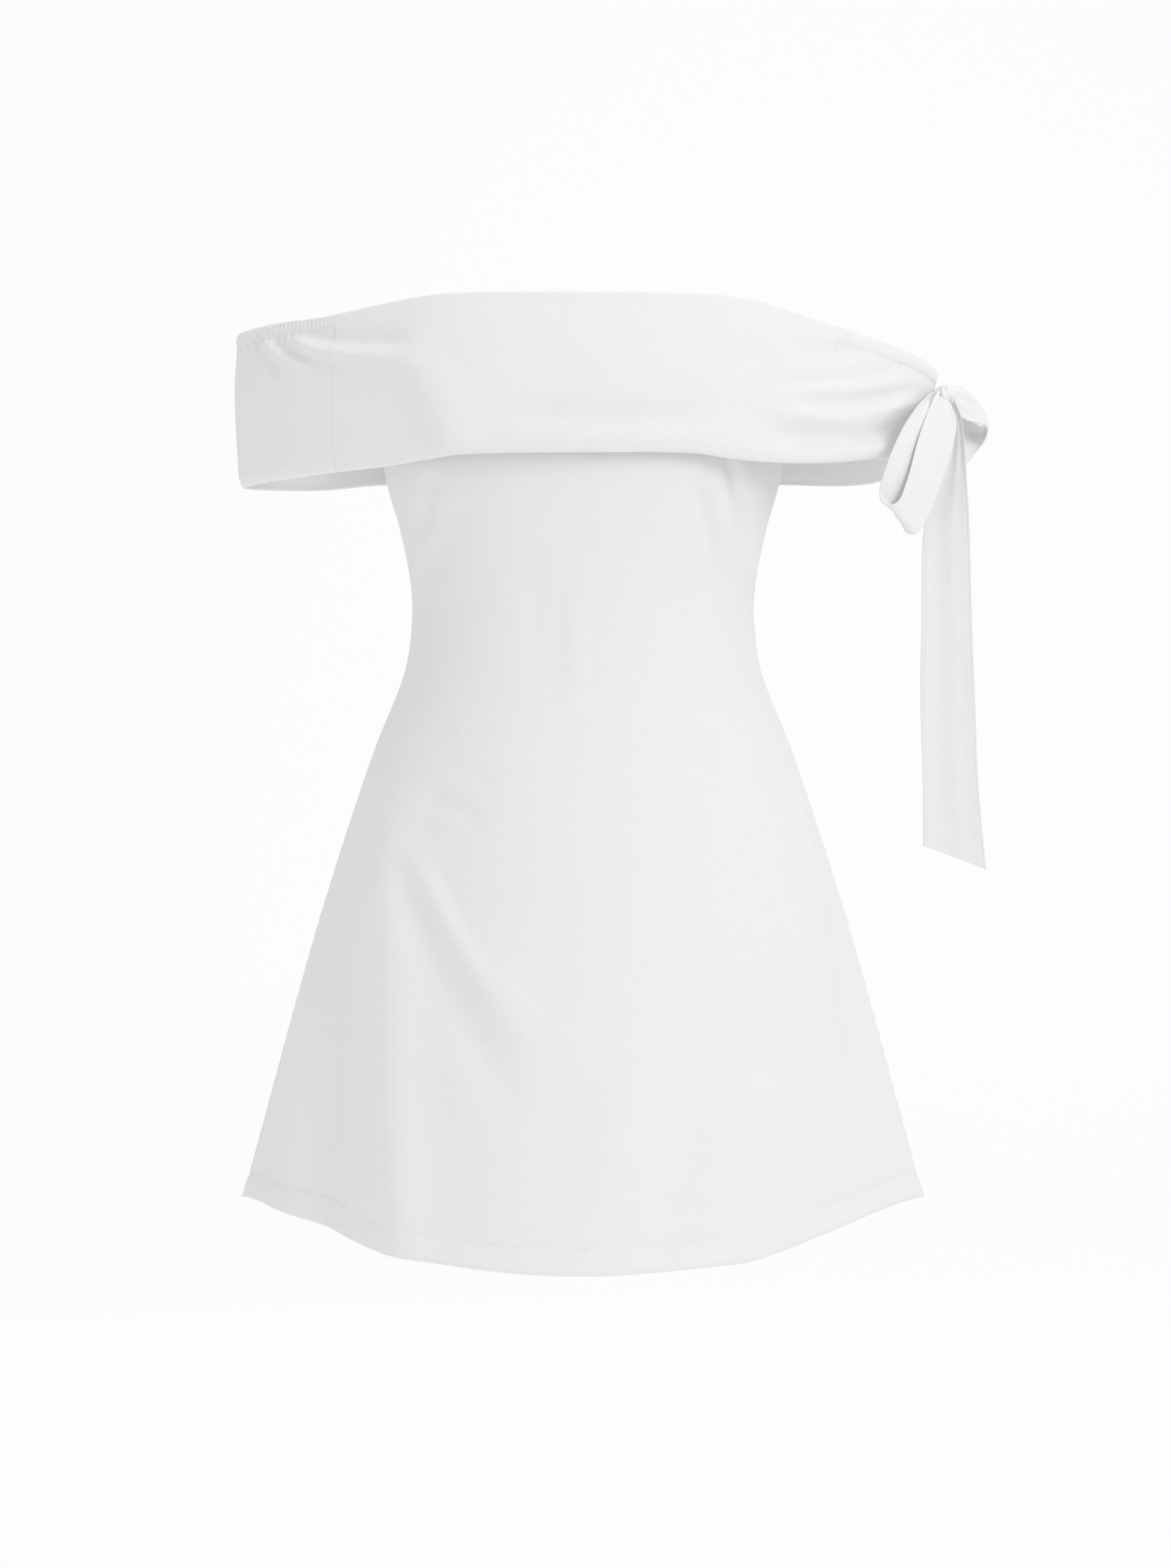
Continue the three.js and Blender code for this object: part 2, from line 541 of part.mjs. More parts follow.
add("dress_front", bodyPanel(-1, [...skirtFrontFolds, ...bodiceFrontFolds], 40, 30));
add("dress_back", bodyPanel(1, skirtBackFolds, 28, 22));
add("collar_front", collarPanel(-1, collarFrontFolds, 44, 14));
add("collar_back", collarPanel(1, collarBackFolds, 32, 7));
add("shoulder_elastic_right", shoulderCasing(-1));
add("shoulder_elastic_left", shoulderCasing(1));
add("tie_knot", knotLump(0));
add("tie_front_loop", tieStrip(frontLoopRows, 26, 3, 1.5));
add("tie_back_loop", tieStrip(backLoopRows, 20, 3, 1));
add("tie_front_tail", tieStrip(frontTailRows, 14, 4, 1.5));
add("tie_back_tail", tieStrip(backTailRows, 12, 4, 1));

export default dress;
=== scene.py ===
"""The looks of an off-shoulder dress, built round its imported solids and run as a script.

Metres, +Z up. The front faces -Y and +X is the wearer's left. The sizes at the top are in
millimetres, apart from the materials' and the stage's, which are in metres.
"""

import math
from collections import namedtuple

import bpy
import numpy as np
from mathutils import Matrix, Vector


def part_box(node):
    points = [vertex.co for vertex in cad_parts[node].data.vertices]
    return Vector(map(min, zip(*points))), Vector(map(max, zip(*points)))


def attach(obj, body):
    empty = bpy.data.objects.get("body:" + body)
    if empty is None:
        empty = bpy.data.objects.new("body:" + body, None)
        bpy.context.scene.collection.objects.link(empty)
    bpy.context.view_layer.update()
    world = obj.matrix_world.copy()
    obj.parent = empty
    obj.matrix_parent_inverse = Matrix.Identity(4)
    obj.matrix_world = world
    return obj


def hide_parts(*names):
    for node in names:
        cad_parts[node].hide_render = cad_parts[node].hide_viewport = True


bl_info = {
    "name": "Off-shoulder dress",
    "version": (1, 0, 0),
    "blender": (4, 5, 0),
    "location": "3D View > Sidebar > Dress",
    "description": "Builds a jersey dress with a folded collar, gathered shoulders and a bow",
    "category": "Mesh",
}

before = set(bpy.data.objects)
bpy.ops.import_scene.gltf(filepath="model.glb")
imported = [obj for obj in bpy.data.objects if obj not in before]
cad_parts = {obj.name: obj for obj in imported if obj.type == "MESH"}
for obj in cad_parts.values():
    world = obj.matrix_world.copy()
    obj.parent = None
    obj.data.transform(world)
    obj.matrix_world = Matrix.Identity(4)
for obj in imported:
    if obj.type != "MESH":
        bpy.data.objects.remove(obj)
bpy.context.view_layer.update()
MM = 0.001
FRONT = -1
BACK = 1
RIGHT = -1
LEFT = 1

# Side seams: the gap between two panels, the share of a panel over which its folds die away,
# half a panel's width, and the groove with its puckers.
SEAM = 0.3
SEAM_FADE = 0.14
HALF_PANEL = 190
SEAM_GROOVE = 0.5
SEAM_GROOVE_WIDTH = 1.6
SEAM_PUCKER_PITCH = 13

# Folds: the steps of a fold's curve, the share of its length over which each end dies away, and
# its reach in half widths.
FOLD_STEPS = 12
FOLD_FADE = 0.3
FOLD_REACH = 3.2

# Body: the top edge at the middle and under the arms, the shares between which it falls, the
# hem's rise towards the sides and its dips, the height at which the columns are spaced, and the
# soft dents.
NECK_HEIGHT = 77
ARM_HEIGHT = 5
NECK_FALL = (0.3, 1.05)
HEM_SIDE_RISE = 27
HEM_LIFT = 2
Dip = namedtuple("Dip", "deep x wide")
HEM_DIPS = (Dip(2.6, 120, 26), Dip(2.4, -150, 34))
BODY_COLUMN_HEIGHT = -420
BODY_DENT = 0.5
BODY_DENT_SIZE = 70

# The turned hem: the groove of its stitching, the step down to one layer, the flare of its
# weight and the puckers between the stitches.
HEM_GROOVE = 0.7
HEM_GROOVE_WIDTH = 1.5
HEM_STEP = 0.3
HEM_STEP_WIDTH = 1.5
HEM_FLARE = 1.3
HEM_FLARE_REACH = 4
HEM_PUCKER = 0.26
HEM_PUCKER_PITCH = 11
HEM_PUCKER_DRIFT = 60
HEM_PUCKER_WIDTH = 6

# Collar: the room for its round rim, the roll of the bottom fold with the swell above it, the
# height at which its columns are spaced, and the soft dents.
RIM = 1.9
ROLL_IN = 1.6
ROLL_IN_AT = -1
ROLL_IN_WIDTH = 4.5
ROLL_THICKNESS = 1.6
ROLL_WIDTH = 8
SWELL = 0.6
SWELL_DRIFT = 0.25
SWELL_PITCH = 31
SWELL_AT = 10
COLLAR_COLUMN_HEIGHT = 10
COLLAR_DENT = 0.4
COLLAR_DENT_SIZE = 55

# Elastic casings: the share where the collar's notch for one starts and how far the casing runs
# on past it, the notch's steps, the gathers below and their share at the left shoulder.
CASING_START = 0.49
CASING_RUN_ON = 0.009
NOTCH_STEPS = (-0.0045, -0.0005)
NOTCH_EDGE = 0.001
NOTCH_GAP = 0.12
NOTCH_BEND = 8
GATHER_DRIFT = 0.35
GATHER_START = 0.21
GATHER_REACH = (11, 7, 3)
LEFT_GATHERS = 0.32
UNDER_CASING = 0.35
UNDER_CASING_WIDTH = 1.2
CASING_STITCH_DROP = 1.4
CASING_LIFT = 0.15
CASING_RIB = 0.72
CASING_BELLY = 0.6
CASING_EDGE_RIPPLE = 0.35
CASING_END_FADE = 0.12
CASING_RIB_GROWTH = (0.1, 0.6)

# Tie: the pleats at the knot and their reach, the dents, the creases' fade and drift, and the
# pressed edge's groove.
PLEAT = 1.1
PLEAT_COUNT = 2.5
PLEAT_REACH = 26
FULL_WIDTH = 20
TIE_DENT = 0.5
TIE_DENT_SIZE = 30
CREASE_FADE = 0.12
CREASE_DRIFT = 0.02
CREASE_DRIFT_PITCH = 37
EDGE_GROOVE = 0.3
EDGE_GROOVE_IN = 2.4
EDGE_GROOVE_WIDTH = 0.7
EDGE_GROOVE_FROM = 14
TAIL_CREASES = ((0.08, 0.05, -0.4), (0.34, 0.16, 0.6), (0.62, 0.1, -0.3), (0.84, 0.14, 0.3))

# Knot: rings and points a ring, its share of the solid's size, two runs of pleats, and the band
# round it with the hollow above.
KNOT_RINGS = 48
KNOT_SIDES = 96
KNOT_SHARE = 0.98
KNOT_PLEAT = 0.09
KNOT_FINE_PLEAT = 0.05
KNOT_BAND = 0.12
KNOT_HOLLOW = 0.08

# Stitches: the sides of one, how it sinks and swells along its length in thread radii, its gap
# from the row's start, its pitch in stitch lengths, a tail's stitching in from its end, the
# column along which that is measured, and the columns that are sewn.
STITCH_SIDES = 6
STITCH_SINK = np.array([-1.1, 0.2, 0.55, 0.2, -1.1])
STITCH_SWELL = np.array([0.7, 1, 1.05, 1, 0.7])
STITCH_START = 0.6
STITCH_PITCH = 1.25
TAIL_STITCH_IN = 7
TAIL_COLUMN = 8
TAIL_MARGIN = slice(3, -3)

# Seeds of the uneven dents, puckers and gathers.
BODY_SEED = 5
PUCKER_SEED = 3
COLLAR_SEED = 11
GATHER_SEED = 20
TIE_SEED = 30

# Materials, in metres and in noise sizes per metre.
FUZZ_SCALE = 900
SLUB_SCALE = 60
KNIT_DEPTH = 0.0004
TWIST_SCALE = 900
TWIST_DEPTH = 0.0001

# Stage, in metres and watts.
STAGE_HALF_WIDTH = 5.0
STAGE_FRONT = -4.0
STAGE_TOP = 3.0
STAGE_CURVE = 0.6
STAGE_STEPS = 12
STAGE_GREY = (0.3, 0.3, 0.3)
STAGE_ROUGHNESS = 0.9
STAGE_GLOW = 0.68
WORLD_STRENGTH = 0.665
SENSOR_WIDTH = 36
DRESS_MIDDLE = (0, 0, -0.25)
Lamp = namedtuple("Lamp", "name place aim size power")
LAMPS = (
    Lamp("key", (3.1, -2.3, 2.0), DRESS_MIDDLE, 1.9, 59.5),
    Lamp("fill", (-1.3, -2.0, -1.1), DRESS_MIDDLE, 1.8, 12),
    Lamp("top", (0.2, -0.4, 1.9), DRESS_MIDDLE, 1.8, 7),
    Lamp("backdrop", (0.0, 0.5, 1.9), (0, 1.4, -0.3), 2.2, 5),
)

# Columns and rows of the pieces' grids.
BODY_GRIDS = {FRONT: (190, 216), BACK: (160, 180)}
COLLAR_GRIDS = {FRONT: (460, 64), BACK: (420, 56)}
CASING_GRID = (640, 14)


def table(kind, *rows):
    """Rows of numbers, with a name for each column."""
    return [kind(*row) for row in rows]


# The body's sections from the neckline to the hem, in the frame's own plan curve.
Section = namedtuple("Section", "z half front back flat tip round")
BODY_SECTIONS = table(
    Section,
    (80, 143, 109.1, 88.9, 0.95, 1, 0.6),
    (40, 149, 113, 90, 0.86, 1, 0.6),
    (0, 154, 118.5, 90, 0.78, 1, 0.6),
    (-40, 153, 117, 86, 0.74, 1, 0.6),
    (-82, 141.6, 107, 80, 0.68, 1, 0.6),
    (-120, 134, 97, 76, 0.62, 1, 0.6),
    (-151, 132.4, 92, 75, 0.6, 1, 0.58),
    (-192, 138.3, 94, 82, 0.6, 1, 0.56),
    (-247, 160, 104, 98, 0.6, 0.98, 0.5),
    (-302, 179.3, 116, 112, 0.6, 0.96, 0.42),
    (-385, 205.4, 132, 124, 0.6, 0.93, 0.34),
    (-467, 228.5, 147, 134, 0.6, 0.9, 0.27),
    (-550, 250.8, 160, 144, 0.6, 0.87, 0.22),
    (-626, 271.5, 171, 152, 0.6, 0.85, 0.2),
)
COLLAR_PLAN = (0.55, 1, 0.25)
CollarSection = namedtuple("CollarSection", "share right left front back")
COLLAR_SECTIONS = table(
    CollarSection,
    (0, 267, 274, 112, 92.6),
    (0.3, 270, 272, 121, 97),
    (0.65, 269, 267, 128.5, 99),
    (1, 266, 262, 129, 98),
)
Edge = namedtuple("Edge", "x top bottom")
COLLAR_FRONT_EDGES = table(
    Edge,
    (-270, 69, -49.5),
    (-230, 70.8, -48.2),
    (-195, 71, -46.8),
    (-150, 76.4, -45),
    (-115, 80.2, -41.8),
    (-84, 80.8, -39.2),
    (0, 80, -38.6),
    (86, 80, -37.9),
    (118, 78.8, -41),
    (145, 73.8, -41.8),
    (173, 66.8, -41),
    (202, 60.8, -38.2),
    (231, 54.4, -33.4),
    (258, 47.8, -32),
    (274, 41.5, -34),
)
COLLAR_BACK_EDGES = table(
    Edge,
    (-270, 69, -49.5),
    (-210, 71, -45.3),
    (-160, 72, -38.5),
    (0, 74, -36),
    (160, 70, -38),
    (234, 54, -42),
    (274, 41.5, -34),
)

# Folds: a curve through three points seen from the panel's own side, the half width at its
# start and its end, and the height, which is below nothing for a trough. The fine creases come
# last in each table.
Fold = namedtuple("Fold", "x0 z0 x1 z1 x2 z2 wide wide_end high")
BODY_FRONT_FOLDS = table(
    Fold,
    (-142, -245, -140, -440, -122, -740, 19, 22, 8),
    (-168, -275, -192, -430, -186, -680, 11, 15, -9),
    (-203, -380, -220, -520, -230, -700, 14, 20, 6),
    (-138, -322, -106, -405, -28, -550, 8, 18, -3.6),
    (-130, -312, -90, -393, -8, -486, 9, 18, 4),
    (-124, -284, -97, -295, -66, -312, 7, 8, -2),
    (152, -258, 173, -362, 192, -520, 7, 14, 4.5),
    (180, -340, 202, -435, 216, -560, 10, 16, -4),
    (90, -395, 74, -505, 42, -680, 20, 32, -5),
    (128, -480, 138, -550, 150, -640, 18, 22, 4),
    (40, -261, 78, -266, 120, -266, 9, 9, -1.6),
    (80, -44, 95, -92, 112, -142, 6, 9, -5.6),
    (106, -30, 117, -68, 126, -106, 5, 6, -4.6),
    (-111, -42, -117, -70, -124, -98, 8, 8, -2.4),
    (-82, -64, -105, -100, -126, -138, 10, 11, -1.6),
    (-36, -110, -34, -160, -40, -220, 12, 12, -1.2),
    (-150, -330, -160, -400, -172, -470, 7, 9, 1.4),
    (-112, -326, -86, -380, -52, -430, 5, 8, -1.2),
    (-110, -262, -84, -270, -60, -284, 6, 8, -0.9),
    (-24, -470, -14, -540, -16, -600, 14, 22, -1.4),
    (30, -430, 36, -510, 26, -600, 16, 24, 1.2),
    (150, -276, 163, -345, 176, -446, 3, 5, -1.7),
    (205, -430, 220, -500, 236, -590, 8, 12, 1.6),
    (-226, -480, -236, -540, -244, -600, 7, 10, -1.6),
    (-20, -120, -18, -170, -24, -230, 6, 8, -0.7),
    (-8, -140, -4, -190, -8, -250, 6, 9, 0.6),
    (60, -130, 70, -175, 84, -214, 8, 10, -0.8),
    (96, -222, 124, -232, 148, -238, 8, 8, -0.9),
    (-150, -228, -120, -236, -86, -238, 9, 9, -1),
    (128, -268, 100, -276, 60, -279, 6, 8, 0.7),
)
BODY_BACK_FOLDS = table(
    Fold,
    (-128, -270, -134, -440, -122, -640, 24, 30, 7),
    (-165, -310, -184, -450, -172, -640, 12, 18, -6),
    (120, -290, 128, -440, 132, -640, 22, 28, 7),
    (160, -300, 178, -450, 176, -640, 12, 18, -6),
    (24, -330, 14, -480, 20, -640, 24, 36, -5),
    (-60, -290, -54, -420, -66, -560, 16, 24, -3),
    (-40, -120, 0, -136, 44, -128, 9, 9, -2.4),
    (-52, -150, 0, -168, 50, -156, 9, 9, -2),
    (-60, -140, -20, -146, 30, -142, 5, 6, 1.2),
    (-40, -96, 4, -108, 40, -102, 6, 7, -1.2),
    (88, -60, 104, -96, 120, -130, 5, 7, -1.8),
    (-90, -58, -106, -98, -122, -134, 5, 7, -1.8),
    (-96, -270, -60, -330, -20, -420, 9, 16, -2.2),
    (60, -300, 66, -400, 84, -520, 12, 20, 1.8),
    (-210, -440, -220, -520, -232, -620, 9, 13, 2),
    (212, -440, 220, -520, 234, -620, 9, 13, 2),
)
COLLAR_FRONT_FOLDS = table(
    Fold,
    (-229, 62, -180, 42, -106, 33, 4, 10, 5),
    (-216, 61, -170, 51.5, -112, 47, 4, 8, -3),
    (-241, 65, -231, 48, -198, 27, 3.5, 7, 3.6),
    (-234, 63, -224, 50, -196, 36, 3, 5, -2.8),
    (-249.5, 64, -249, 50, -250, 32, 2.4, 4.5, -2.4),
    (-134, 66, -110, 6, -82, -64, 20, 20, 3.8),
    (-104, 120, -86, 10, -66, -110, 46, 46, 4),
    (264, 12, 204, -19, 112, -14, 6.5, 12, -8.6),
    (263, 20, 205, -4, 134, -6, 6, 10, 4.4),
    (260, 28, 203, 9, 138, 3, 4.5, 8, -4),
    (256, 34, 203, 18, 140, 12, 4, 8, 1.4),
    (250, 40, 200, 25, 130, 17, 4.5, 8, -2.4),
    (214, 50, 180, 43, 145, 43, 5, 8, -2.2),
    (240, -16, 205, -24, 150, -26, 10, 12, 4),
    (-74, -11, 19, -12.5, 104, -10, 9, 9, -3.4),
    (-257, 64, -257, 52, -255, 34, 2, 3.5, -1.9),
    (-253, 64, -253, 50, -254, 30, 2, 4, 1.4),
    (-243, 58, -239, 44, -228, 26, 2.4, 5, -2),
    (-246, 62, -244, 50, -240, 30, 2, 4, 1.5),
    (-262, 62, -262, 46, -260, 20, 2, 4, -1.4),
    (-220, 60, -196, 52, -160, 48, 2.4, 5, 1.1),
    (-214, 58, -190, 50, -150, 44, 2.6, 6, -0.9),
    (-252, 20, -246, -10, -244, -44, 6, 9, -1.4),
    (-210, 22, -160, 12, -118, 14, 8, 12, -1),
    (-140, -20, -118, -26, -96, -30, 8, 10, -0.8),
    (254, 28, 214, 16, 170, 9, 3, 6, 1),
    (252, 38, 212, 28, 168, 22, 3, 6, 1),
    (256, 9, 228, 0, 190, -8, 3, 6, -1.3),
    (246, -2, 214, -12, 176, -17, 4, 8, 1.4),
    (150, 36, 110, 32, 76, 34, 6, 9, -0.9),
    (48, -4, 92, -6, 138, -3, 6, 8, -1),
    (140, 10, 90, 4, 40, 3, 8, 12, -0.8),
)
COLLAR_BACK_FOLDS = table(
    Fold,
    (-240, 62, -190, 46, -120, 38, 7, 11, 3.5),
    (-228, 52, -190, 26, -140, 12, 7, 11, -2.6),
    (258, 20, 205, 2, 130, -2, 8, 12, -4),
    (254, 36, 200, 24, 130, 16, 7, 11, 3),
    (-80, 20, 0, 10, 80, 18, 11, 11, -2),
    (-252, 58, -248, 44, -236, 22, 3, 5, -1.6),
    (-242, 60, -226, 42, -196, 28, 3, 5, 1.3),
    (256, 12, 224, -4, 186, -14, 4, 7, -1.5),
    (250, 44, 214, 34, 168, 28, 3, 6, -1.2),
    (-60, -8, 0, -14, 66, -9, 8, 9, -1),
    (-110, 44, -50, 38, 10, 42, 7, 9, -0.9),
)

BODY_FOLDS = {FRONT: BODY_FRONT_FOLDS, BACK: BODY_BACK_FOLDS}
COLLAR_FOLDS = {FRONT: COLLAR_FRONT_FOLDS, BACK: COLLAR_BACK_FOLDS}

# The bow's strips, each through rows that give its two long edges.
Rung = namedtuple("Rung", "ax ay az bx by bz")
FRONT_LOOP = table(
    Rung,
    (272, -14, 24, 276, -12, 15),
    (265.5, -25, 20.5, 271.5, -18, 8),
    (254, -41, 9, 266.5, -28, -7),
    (241.5, -53, -9, 259, -40, -29),
    (232, -61, -28, 252.5, -48, -51),
    (225.5, -63.5, -45, 246.5, -52, -70),
    (222, -64, -59, 242, -55, -84),
    (224, -70, -68, 245.5, -59, -90.5),
    (230, -72, -70, 252.5, -59, -89),
    (237, -68, -65, 259.5, -54, -77),
    (242, -63, -53, 266, -51, -63),
    (247, -57.5, -38, 273.5, -46, -44),
    (253, -49.5, -18, 280, -40.5, -25),
    (261, -39, 2, 284.5, -32.5, -4),
    (268, -30, 17, 282, -26, 9),
    (273, -18, 24, 279, -17, 17),
)
BACK_LOOP = table(
    Rung,
    (284, -8, 17, 281, -5, 26),
    (290, -4, 9, 289, 4, 31.5),
    (298, 3, 4.5, 298, 15, 32),
    (309, 15, 4, 309, 32, 26.5),
    (317, 27, 3.5, 318, 47, 18.5),
    (319.5, 35, 0, 322, 57, 11),
    (317.5, 40, -7, 319, 62, 9),
    (311, 39, -16, 310, 57, 15),
    (302, 30, -25, 299, 42, 19),
    (293, 16, -16, 290, 24, 20),
    (287, 5, 4, 284, 8, 22),
    (281, -4, 18, 280, -3, 23),
)
FRONT_TAIL = table(
    Rung,
    (280, -11, 16, 285, -13, 20),
    (282, -12.5, 2, 291, -14.5, 5),
    (281, -12.5, -15, 294, -15, -20),
    (273, -12.5, -42, 295.8, -15, -48),
    (262.5, -12, -82, 297.8, -15, -84),
    (260.6, -12, -165, 300, -15, -165),
    (260.1, -11, -210, 302, -15, -215),
    (261.8, -11, -270, 304.5, -15, -278),
    (262.3, -11.5, -326, 310.4, -15, -344),
)
BACK_TAIL = table(
    Rung,
    (277, -7, 14, 281, -7, 14),
    (279, -5, 2, 287, -5, 3),
    (278, 0, -15, 291, -2, -18),
    (272, 0, -45, 292.5, -3, -48),
    (266, -1, -90, 293.5, -4, -92),
    (265, -2, -160, 295.5, -5, -160),
    (266, -2, -230, 298, -4, -232),
    (266.5, -1, -292, 301, -3, -306),
)


def read(rows, axis, value, name):
    """A column of a table at values of its axis column, on a smooth curve through the rows."""
    at = np.array([getattr(row, axis) for row in rows], float)
    heights = np.array([getattr(row, name) for row in rows], float)
    if at[-1] < at[0]:
        at, heights = at[::-1], heights[::-1]
    steps, rises = np.diff(at), np.diff(heights)
    slope = np.empty_like(heights)
    slope[1:-1] = (heights[2:] - heights[:-2]) / (at[2:] - at[:-2])
    slope[0], slope[-1] = rises[0] / steps[0], rises[-1] / steps[-1]
    value = np.clip(value, at[0], at[-1])
    i = np.clip(np.searchsorted(at, value, side="right") - 1, 0, len(at) - 2)
    u = (value - at[i]) / steps[i]
    start = slope[i] * steps[i] - rises[i]
    end = slope[i + 1] * steps[i] - rises[i]
    return heights[i] + rises[i] * u + u * (1 - u) * (start * (1 - u) - end * u)


def quarter(share, flat, tip, fill):
    """One quarter of a plan curve, from its centre line (share 0) to its side (share 1)."""
    u = np.abs(share)
    k = 1 - u
    across = 3 * k * k * u * flat + 3 * k * u * u * tip + u**3
    out = k**3 + 3 * k * k * u + 3 * k * u * u * fill
    return np.sign(share) * across, out


def size(name):
    """One of the sewing's sizes, in millimetres."""
    return getattr(bpy.context.scene.dress_sizes, name) / MM


def smoothstep(value, low, high):
    t = np.clip((value - low) / (high - low), 0, 1)
    return t * t * (3 - 2 * t)


def bump(value, centre, wide):
    return np.exp(-(((value - centre) / wide) ** 2))


def unit(directions):
    return directions / (np.linalg.norm(directions, axis=-1, keepdims=True) + 1e-12)


def distances(points, axis=0):
    """How far along a line of points, or along a grid's lines, each point lies."""
    steps = np.linalg.norm(np.diff(points, axis=axis), axis=-1)
    return np.insert(np.cumsum(steps, axis=axis), 0, 0, axis=axis)


def places(at, along, points):
    """Points of a line at distances along it."""
    return np.stack([np.interp(at, along, points[:, i]) for i in range(3)], -1)


def squares(grid):
    """Faces between the neighbours in a grid of point numbers."""
    corners = [grid[:-1, :-1], grid[:-1, 1:], grid[1:, 1:], grid[1:, :-1]]
    return np.stack(corners, -1).reshape(-1, 4)


def back_squares(grid):
    """The same faces, turned the other way."""
    return squares(grid)[:, [0, 3, 2, 1]]


def body_form(side):
    """The body's plain surface as a function of the share across and the height."""

    def point(share, z):
        share, z = np.broadcast_arrays(share, z)
        flat, tip, fill = (read(BODY_SECTIONS, "z", z, n) for n in ("flat", "tip", "round"))
        across, out = quarter(share, flat, tip, fill)
        depth = read(BODY_SECTIONS, "z", z, "front" if side == FRONT else "back") * out
        half = read(BODY_SECTIONS, "z", z, "half")
        return np.stack([half * across, side * (depth + SEAM / 2), z], -1)

    return point


def collar_edge(side, share, name):
    """The height of the collar's top or bottom edge."""
    half = np.where(share < 0, COLLAR_SECTIONS[0].right, COLLAR_SECTIONS[0].left)
    x = half * quarter(share, *COLLAR_PLAN)[0]
    return read(COLLAR_FRONT_EDGES if side == FRONT else COLLAR_BACK_EDGES, "x", x, name)


def collar_form(side):
    """The collar's plain surface as a function of the share across and the height."""

    def point(share, z):
        share, z = np.broadcast_arrays(share, z)
        top, bottom = collar_edge(side, share, "top"), collar_edge(side, share, "bottom")
        down = (top - z) / (top - bottom)
        across, out = quarter(share, *COLLAR_PLAN)
        right = read(COLLAR_SECTIONS, "share", down, "right")
        left = read(COLLAR_SECTIONS, "share", down, "left")
        depth = read(COLLAR_SECTIONS, "share", down, "front" if side == FRONT else "back")
        half = np.where(share < 0, right, left)
        return np.stack([half * across, side * (depth * out + SEAM / 2), z], -1)

    return point


def fold_curve(start, middle, end):
    """One coordinate of the points along a fold, which runs through three places."""
    u = np.linspace(0, 1, FOLD_STEPS + 1)
    turn = 2 * middle - (start + end) / 2
    return (1 - u) ** 2 * start + 2 * u * (1 - u) * turn + u * u * end


def fold_lift(folds, x, z):
    """How far the folds of a list lift the cloth at places seen from the panel's own side."""
    lift = np.zeros(np.shape(x))
    for f in folds:
        curve_x = fold_curve(f.x0, f.x1, f.x2)
        curve_z = fold_curve(f.z0, f.z1, f.z2)
        reach = FOLD_REACH * max(f.wide, f.wide_end)
        near = (x > curve_x.min() - reach) & (x < curve_x.max() + reach)
        near &= (z > curve_z.min() - reach) & (z < curve_z.max() + reach)
        px, pz = x[near], z[near]
        nearest = np.full(px.shape, np.inf)
        along = np.zeros(px.shape)
        for i in range(FOLD_STEPS):
            dx, dz = curve_x[i + 1] - curve_x[i], curve_z[i + 1] - curve_z[i]
            s = ((px - curve_x[i]) * dx + (pz - curve_z[i]) * dz) / (dx * dx + dz * dz)
            s = np.clip(s, 0, 1)
            gap = np.hypot(px - curve_x[i] - s * dx, pz - curve_z[i] - s * dz)
            closer = gap < nearest
            nearest = np.where(closer, gap, nearest)
            along = np.where(closer, (i + s) / FOLD_STEPS, along)
        wide = f.wide + (f.wide_end - f.wide) * along
        fade = smoothstep(np.minimum(along, 1 - along), 0, FOLD_FADE)
        lift[near] += f.high * fade * bump(nearest, 0, wide)
    return lift


def level_normals(surface, share, z, side):
    """Level outward directions of a surface."""
    step_u, step_z = 1e-3, 0.5
    along_u = surface(share + step_u, z) - surface(share - step_u, z)
    along_z = surface(share, z + step_z) - surface(share, z - step_z)
    normal = -side * np.cross(along_u, along_z)
    normal[..., 2] = 0
    return unit(normal)


def grid_normals(points, hint):
    """Outward directions of a grid of points, on the side of a hint."""
    normal = unit(np.cross(np.gradient(points, axis=0), np.gradient(points, axis=1)))
    return normal * (1 if (normal * hint).sum() > 0 else -1)


def square_to_seams(normals):
    """Directions that run straight sideways at a panel's two side edges."""
    normals[:, [0, -1], 1] = 0
    return unit(normals)


def even_shares(surface, z, count):
    """Shares across a panel that lie evenly along the cloth."""
    share = np.linspace(-1, 1, 801)
    length = distances(surface(share, z))
    return np.interp(np.linspace(0, length[-1], count + 1), length, share)


def unevenness(x, z, dent, seed):
    """A soft uneven lift, from -1 to 1, with dents of about that size."""
    waves = 9
    chance = np.random.default_rng(seed)
    total = np.zeros(np.shape(x))
    for _ in range(waves):
        angle, phase = chance.uniform(0, 2 * math.pi, 2)
        pitch = dent * chance.uniform(0.7, 1.6)
        total += np.sin((x * math.cos(angle) + z * math.sin(angle)) * 2 * math.pi / pitch + phase)
    return total / waves


def mesh_object(name, points, faces, uvs=None):
    """A mesh object from points in millimetres, faces and a (u, v) in metres for each point."""
    mesh = bpy.data.meshes.new(name)
    mesh.from_pydata((np.asarray(points) * MM).tolist(), [], [tuple(f) for f in faces])
    mesh.validate()
    mesh.polygons.foreach_set("use_smooth", [True] * len(mesh.polygons))
    if uvs is not None:
        layer = mesh.uv_layers.new(name="cloth")
        index = np.zeros(len(mesh.loops), np.int32)
        mesh.loops.foreach_get("vertex_index", index)
        layer.data.foreach_set("uv", np.asarray(uvs)[index].astype(np.float32).ravel())
    mesh.update()
    piece = bpy.data.objects.new(name, mesh)
    bpy.context.scene.collection.objects.link(piece)
    return piece


